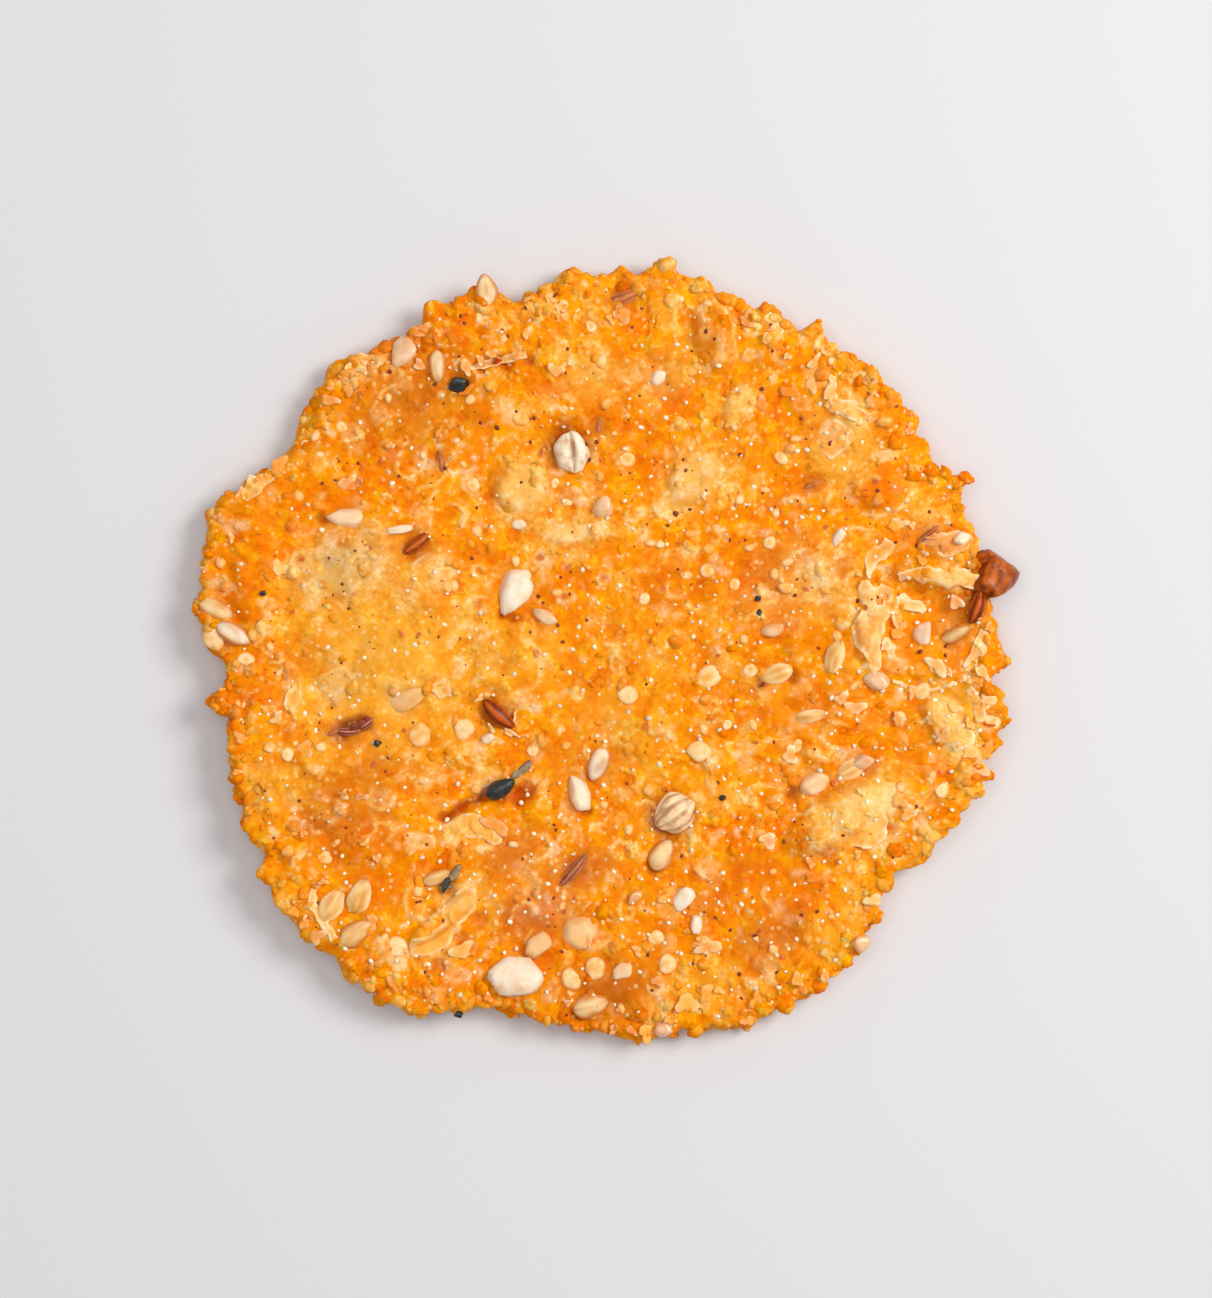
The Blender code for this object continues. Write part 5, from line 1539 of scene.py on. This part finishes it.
def rice_granules():
    """The named granules, small ones all over the face, and others on the back, away from its plain middle.

    Those in the face are yellow to pale, by a draw for each and by noise at 0.5 mm.
    """
    named_x, named_y, length, width = np.array(GRANULES, float).T
    draw = np.random.default_rng(95)
    turn = draw.uniform(0, 180, len(length))
    bodies, faces, edge = beads(named_x, named_y, turn, 1.1 * length, 1.1 * width, 0.34 * width, lift=-0.1,
                                seed=96, rows=11, around=18)
    pale = draw.uniform(0.5, 1.1, (len(bodies), 1, 1)) + 1.1 * noise_on(bodies, 0.5, 102)[..., None]
    pale = pale - 0.35 * (edge[..., None] < 0.5)
    inner = blend(GRANULE_YELLOW, GRANULE_PALE, clamp(pale))
    named = bodies, faces, sunk_colour(inner, dough_at(named_x, named_y), edge, soft=0.7)
    x, y, draw = scattered(SMALL_GRANULES, seed=97, reach=1.0)
    size = 0.4 + 0.9 * draw.uniform(0, 1, len(x)) ** 2.4
    bodies, faces, edge = beads(x, y, draw.uniform(0, 180, len(x)), size,
                                size * draw.uniform(0.6, 1, len(x)), 0.36 * size, lift=-0.04, seed=98,
                                rows=5, around=9, lumps=0.36)
    pale = draw.uniform(0, 1, (len(bodies), 1, 1)) + 0.8 * noise_on(bodies, 0.5, 102)[..., None]
    inner = blend(GRANULE_YELLOW, GRANULE_PALE, clamp(pale))
    small = bodies, faces, sunk_colour(inner, dough_at(x, y), edge, soft=0.45)
    x, y, draw = scattered(BACK_GRANULES, seed=99, reach=3.0, density=lambda x, y: np.hypot(x, y) > 16,
                           on_face=False)
    size = 0.4 + 0.8 * draw.uniform(0, 1, len(x)) ** 2
    bodies, faces, edge = beads(x, y, draw.uniform(0, 180, len(x)), size, size * 0.85, 0.5 * size,
                                lift=-0.1 * size, seed=100, rows=5, around=9, back=True, lumps=0.3)
    plain = np.broadcast_to(FRIED_DOUGH, (len(bodies), 3))
    behind = bodies, faces, sunk_colour(0.5 * (GRANULE_YELLOW + GRANULE_PALE), plain, edge)
    return joined(named, small, behind)


press_in(GRANULES, reach=1.15, depth=0.08, stain_and_shade=DEEP_DOUGH * 0.9, darkness=0.4)
make_piece(
    "rice_granules", *rice_granules(),
    food_material("swollen rice", roughness=0.34, gloss=0.1, mottle_scale=1800.0, shade=(0.99, 0.80, 0.50),
                  bump=0.35), "crust",
)

# Crumbs of dough
# The edge tore ragged when the disc was lifted off the press, and its crumbs fried onto it. A few lie
# on the face and the back. They have the colour of the dough next to them.

CRUMBS = 1900


def placed(forms, middle, up, turn):
    """Forms, (bodies, points, 3), set at points with their upright along each point's normal."""
    aside = np.where(np.abs(up[:, 2:]) < 0.9, (0.0, 0.0, 1.0), (1.0, 0.0, 0.0))
    along = np.cross(aside, up)
    along /= np.linalg.norm(along, axis=1)[:, None]
    across = np.cross(up, along)
    c, s = np.cos(turn)[:, None], np.sin(turn)[:, None]
    axes = np.stack([along * c + across * s, across * c - along * s, up], axis=1)
    return middle[:, None] + np.einsum("bpi,bij->bpj", forms, axes)


def dough_crumbs():
    """Broken lumps along the normals of random points of the crust, ten times as likely out on the rim.

    Each is 0.42 + 1.3 u^2.1 mm across for a random u. It has the crust's colour at its point, a little
    deeper and redder, in part as painted warm shade, and goes some way on towards pale or deep dough.
    """
    vertices = crust.data.vertices
    points, normals = held(vertices, "co", 3) / MM - (*DISC_CENTRE, 0), held(vertices, "normal", 3)
    tints = held(crust.data.attributes["tint"].data, "color", 4)[:, :3]
    rim = edge_share(points[:, 0], points[:, 1]) > 0.93
    likely = np.where(rim, 1.0, 0.10) * np.where(points[:, 2] > 0.45, 1, 0)
    draw = np.random.default_rng(107)
    pick = draw.choice(len(points), CRUMBS, replace=False, p=likely / likely.sum())
    size = 0.42 + 1.3 * draw.uniform(0, 1, CRUMBS) ** 2.1
    squash, depth = draw.uniform(0.55, 1, CRUMBS), draw.uniform(0.35, 0.7, CRUMBS)
    (bodies, triangles), _ = broken_bodies(size, size * squash, size * depth, seed=108, sides=5, rows=4,
                                           around=8, sharp=8)
    bodies = placed(bodies, points[pick] - 0.12 * size[:, None] * normals[pick], normals[pick],
                    draw.uniform(0, math.tau, CRUMBS))
    light = draw.uniform(-0.5, 0.6, (CRUMBS, 1))
    # Deeper and redder than the crust there: in part painted warm shade.
    local = tints[pick] * (1.0, 0.9, 0.75)
    colour = np.where(light > 0, blend(local, PALE_DOUGH, light), blend(local, DEEP_DOUGH, -light))
    bodies[..., 2] = np.maximum(bodies[..., 2], 0.01)
    return bodies, triangles, np.broadcast_to(colour[:, None], bodies.shape)


make_piece("dough_crumbs", *dough_crumbs(), crust.data.materials[0], "crust")

# Spice specks
# Ground black pepper and flecks of red chilli, from 0.2 to 0.9 mm, that were kneaded through the dough, and
# pinholes that the hot oil scorched.

SPECKS = 260
CHILLI_FLECKS = 70
BACK_SPECKS = 150
# Specks that show on their own: (x, y, size in mm)
NAMED_SPECKS = (
    (-21.5, -6.2, 0.8), (-20.9, -6, 0.9), (-20.3, -5.6, 0.6), (-22.4, -6.5, 0.6), (-10.8, 19.4, 0.45),
    (-9.4, 19, 0.5), (-7.8, 20.3, 0.4), (-6.3, 19.8, 0.4), (-4.6, 30, 0.4), (12.9, 22.2, 0.5),
    (13.5, 23.1, 0.4), (18.6, 17.6, 0.4), (21, 4.4, 0.5), (22.6, 4.7, 0.4), (11, -27, 0.5),
    (-18.4, 23.7, 0.5), (-8.5, 26.7, 0.4), (-14.6, 22.6, 0.4), (8.2, 27, 0.5), (7, 25.4, 0.35),
    (11.1, 16.7, 0.5), (10.2, 9.5, 0.4), (25.9, 9, 0.5), (24.2, 20.8, 0.4), (-24, 4, 0.3),
    (-23.2, 4.9, 0.3), (-22.4, 5.8, 0.35), (-21.3, 8.6, 0.3), (-23.5, 8, 0.3), (-20.4, 6.8, 0.3),
    (-29, 5.1, 0.5), (-29.4, 9.9, 0.35), (-24.1, 14.3, 0.35), (-21.1, 16, 0.35), (22.6, 13.6, 0.5),
    (-13.8, 15.6, 0.5), (26.2, 0.1, 0.5), (28.4, 0.6, 0.4), (13, -2.6, 0.5), (-5.9, 4.8, 0.4),
    (-1.9, 17.6, 0.4), (-1.6, 16.3, 0.4), (0.7, 15.1, 0.4), (3.2, -2.6, 0.4), (5.6, 11.7, 0.8),
    (16.2, -22, 0.4), (12.3, -23.7, 0.6), (9.2, -10.9, 0.4), (-26, -12.4, 0.4), (-23.3, -4.6, 0.3),
    (-18.6, -8.8, 0.4), (-4.4, -14.9, 0.4), (-2, -13.2, 0.4), (2.6, 21.7, 0.35),
)
PEPPER_DARK = screen(70, 26, 12)
SCORCHED = screen(150, 56, 10)
CHILLI_RED = screen(206, 66, 14)


def spice_specks():
    """Flat dark beads at the named places and at random, red ones between them, and others on the back.

    Each goes over at its edge into a scorched brown, or into the dough's colour if it is red.
    """
    x, y, size = np.array(NAMED_SPECKS, float).T
    more_x, more_y, draw = scattered(SPECKS, seed=112, reach=0.8)
    x, y = np.concatenate([x, more_x]), np.concatenate([y, more_y])
    size = np.concatenate([size, 0.18 + 0.26 * draw.uniform(0, 1, SPECKS) ** 1.8])
    points, faces, edge = beads(x, y, draw.uniform(0, 180, len(x)), size, 0.8 * size, 0.3 * size,
                                lift=-0.01, seed=113, rows=4, around=7)
    scorch = np.concatenate([np.full(len(NAMED_SPECKS), 0.25), draw.uniform(0, 1, SPECKS)])[:, None, None]
    inner = blend(PEPPER_DARK, SCORCHED, scorch)
    dark = sunk_colour(inner, np.broadcast_to(SCORCHED * 1.5, (len(x), 3)), edge, soft=0.5)
    red_x, red_y, draw = scattered(CHILLI_FLECKS, seed=114, reach=1.0)
    size = draw.uniform(0.3, 0.9, CHILLI_FLECKS)
    red, red_faces, red_edge = beads(red_x, red_y, draw.uniform(0, 180, CHILLI_FLECKS), size, 0.6 * size,
                                     0.2 * size, lift=-0.02, seed=115, rows=5, around=8, lumps=0.35)
    red_colour = sunk_colour(CHILLI_RED, dough_at(red_x, red_y), red_edge, soft=0.2)
    back_x, back_y, draw = scattered(BACK_SPECKS, seed=116, reach=2.5, on_face=False)
    size = draw.uniform(0.2, 0.45, len(back_x))
    back, back_faces, _ = beads(back_x, back_y, draw.uniform(0, 180, len(back_x)), size, 0.75 * size,
                                0.4 * size, lift=-0.02, seed=117, rows=3, around=6, back=True)
    return joined(
        (points, faces, dark), (red, red_faces, red_colour),
        (back, back_faces, np.broadcast_to(0.5 * (PEPPER_DARK + SCORCHED), back.shape)),
    )


make_piece(
    "spice_specks", *spice_specks(),
    food_material("pepper and chilli", roughness=0.4, gloss=0.4, mottle_scale=1800.0, shade=(0.7, 0.6, 0.5),
                  bump=0.3), "brown_seed",
)

# Beads of starch and salt, and painted glints
# Tiny white dots, about a third of a millimetre: salt and starch that dried on the last bubbles of oil, and
# painted glints, white where light catches the skin. They lie thickest over the lower right of the face.

BEAD_SPACING = 1.45  # mm from one bead to the next, where none is missing
BEAD_JITTER = 0.42  # share of the spacing by which a bead is off its place
BACK_BEADS = 300
BEAD_WHITE = screen(255, 243, 214)
BACK_BEAD_WHITE = screen(255, 240, 214)


def bead_density(x, y):
    """Chance of a bead at each place: thicker towards the lower right, in loose drifts."""
    drift = noise(flat_points(x, y), 6.0, 121)
    return np.clip(0.42 + 0.007 * (x - y) + 0.4 * drift, 0.1, 1)


def white_beads_and_glints():
    """Beads at the points of a square grid, each moved a little at random and kept by its chance, and others
    scattered over the back."""
    draw = np.random.default_rng(122)
    steps = np.arange(-34, 34, BEAD_SPACING)
    x, y = (
        part.ravel() + draw.uniform(-BEAD_JITTER, BEAD_JITTER, part.size) * BEAD_SPACING
        for part in np.meshgrid(steps, steps)
    )
    keep = draw.uniform(size=len(x)) < bead_density(x, y)
    keep &= np.hypot(x, y) < outline_radius(np.arctan2(y, x)) - 0.9
    x, y = x[keep], y[keep]
    size = 0.28 + 0.26 * draw.uniform(0, 1, len(x)) ** 2
    points, faces, _ = beads(x, y, draw.uniform(0, 180, len(x)), size, 0.85 * size, 0.5 * size, lift=0.0,
                             seed=123, rows=3, around=7)
    # The face's beads are white: in part salt and starch, in part painted glints.
    colour = BEAD_WHITE * draw.uniform(0.7, 1, (len(x), 1, 1)) * np.ones_like(points)
    back_x, back_y, draw = scattered(BACK_BEADS, seed=124, reach=2.5,
                                     density=lambda x, y: np.hypot(x, y) > 14, on_face=False)
    size = 0.17 + 0.2 * draw.uniform(0, 1, len(back_x)) ** 2
    back, back_faces, _ = beads(back_x, back_y, 0 * back_x, size, 0.85 * size, 0.8 * size, lift=0.03,
                                seed=125, rows=3, around=6, back=True)
    return joined((points, faces, colour), (back, back_faces, np.broadcast_to(BACK_BEAD_WHITE, back.shape)))


make_piece(
    "white_beads_and_glints", *white_beads_and_glints(),
    food_material("salt, starch and painted glints", roughness=0.22, gloss=0.35, mottle_scale=2000.0,
                  shade=(0.96, 0.92, 0.84), bump=0.1), "pale_seed",
)

# The table that it lies on, the light and the camera
# A plain white table top, with pale walls all round. Low sun comes from the right through a diffuser, and a
# weaker soft light from above. The camera looks straight down.

TABLE_SIZE = 3.0
TABLE_WHITE = (0.70, 0.69, 0.70, 1)
floor_mesh = bpy.data.meshes.new("table_top")
half = TABLE_SIZE / 2
corners = [(-half, -half, 0), (half, -half, 0), (half, half, 0), (-half, half, 0)]
floor_mesh.from_pydata(corners, [], [(0, 1, 2, 3)])
floor = bpy.data.objects.new("table_top", floor_mesh)
bpy.context.scene.collection.objects.link(floor)
paint, *_ = plain_material("matt white table", Base_Color=TABLE_WHITE, Roughness=0.8, Specular_IOR_Level=0.2)
floor_mesh.materials.append(paint)


def soft_light(name, place, size, power, colour):
    """A square diffuser that faces the cracker."""
    lamp = bpy.data.lights.new(name, "AREA")
    lamp.size, lamp.energy, lamp.color = size, power, colour
    item = bpy.data.objects.new(name, lamp)
    item.location = place
    item.rotation_euler = (-Vector(place)).to_track_quat("-Z", "Y").to_euler()
    bpy.context.scene.collection.objects.link(item)


soft_light("sun_through_diffuser", place=(0.34, 0.14, 0.36), size=0.22, power=1.9, colour=(1.0, 0.98, 0.95))
soft_light("light_from_above", place=(-0.10, 0.05, 0.60), size=0.5, power=1.3, colour=(1.0, 1.0, 1.0))

ROOM_COLOUR = (0.92, 0.93, 0.95, 1)
ROOM_STRENGTH = 0.40
world = bpy.data.worlds.new("pale_room")
world.use_nodes = True
world.node_tree.nodes["Background"].inputs["Color"].default_value = ROOM_COLOUR
world.node_tree.nodes["Background"].inputs["Strength"].default_value = ROOM_STRENGTH
bpy.context.scene.world = world
bpy.context.scene.view_settings.view_transform = "Standard"

LENS = 100.0
SENSOR = 36.0
PICTURE_WIDTH, PICTURE_HEIGHT = 1212, 1298
SHOWN_WIDTH = 0.1015  # metres of table across the picture
camera_data = bpy.data.cameras.new("camera")
camera_data.lens, camera_data.sensor_width = LENS, SENSOR
camera = bpy.data.objects.new("camera", camera_data)
face_level = solid_box[1].z
away = SHOWN_WIDTH * PICTURE_HEIGHT / PICTURE_WIDTH * LENS / SENSOR
camera.location = (0.0, 0.0, face_level + away)
bpy.context.scene.collection.objects.link(camera)
bpy.context.scene.camera = camera
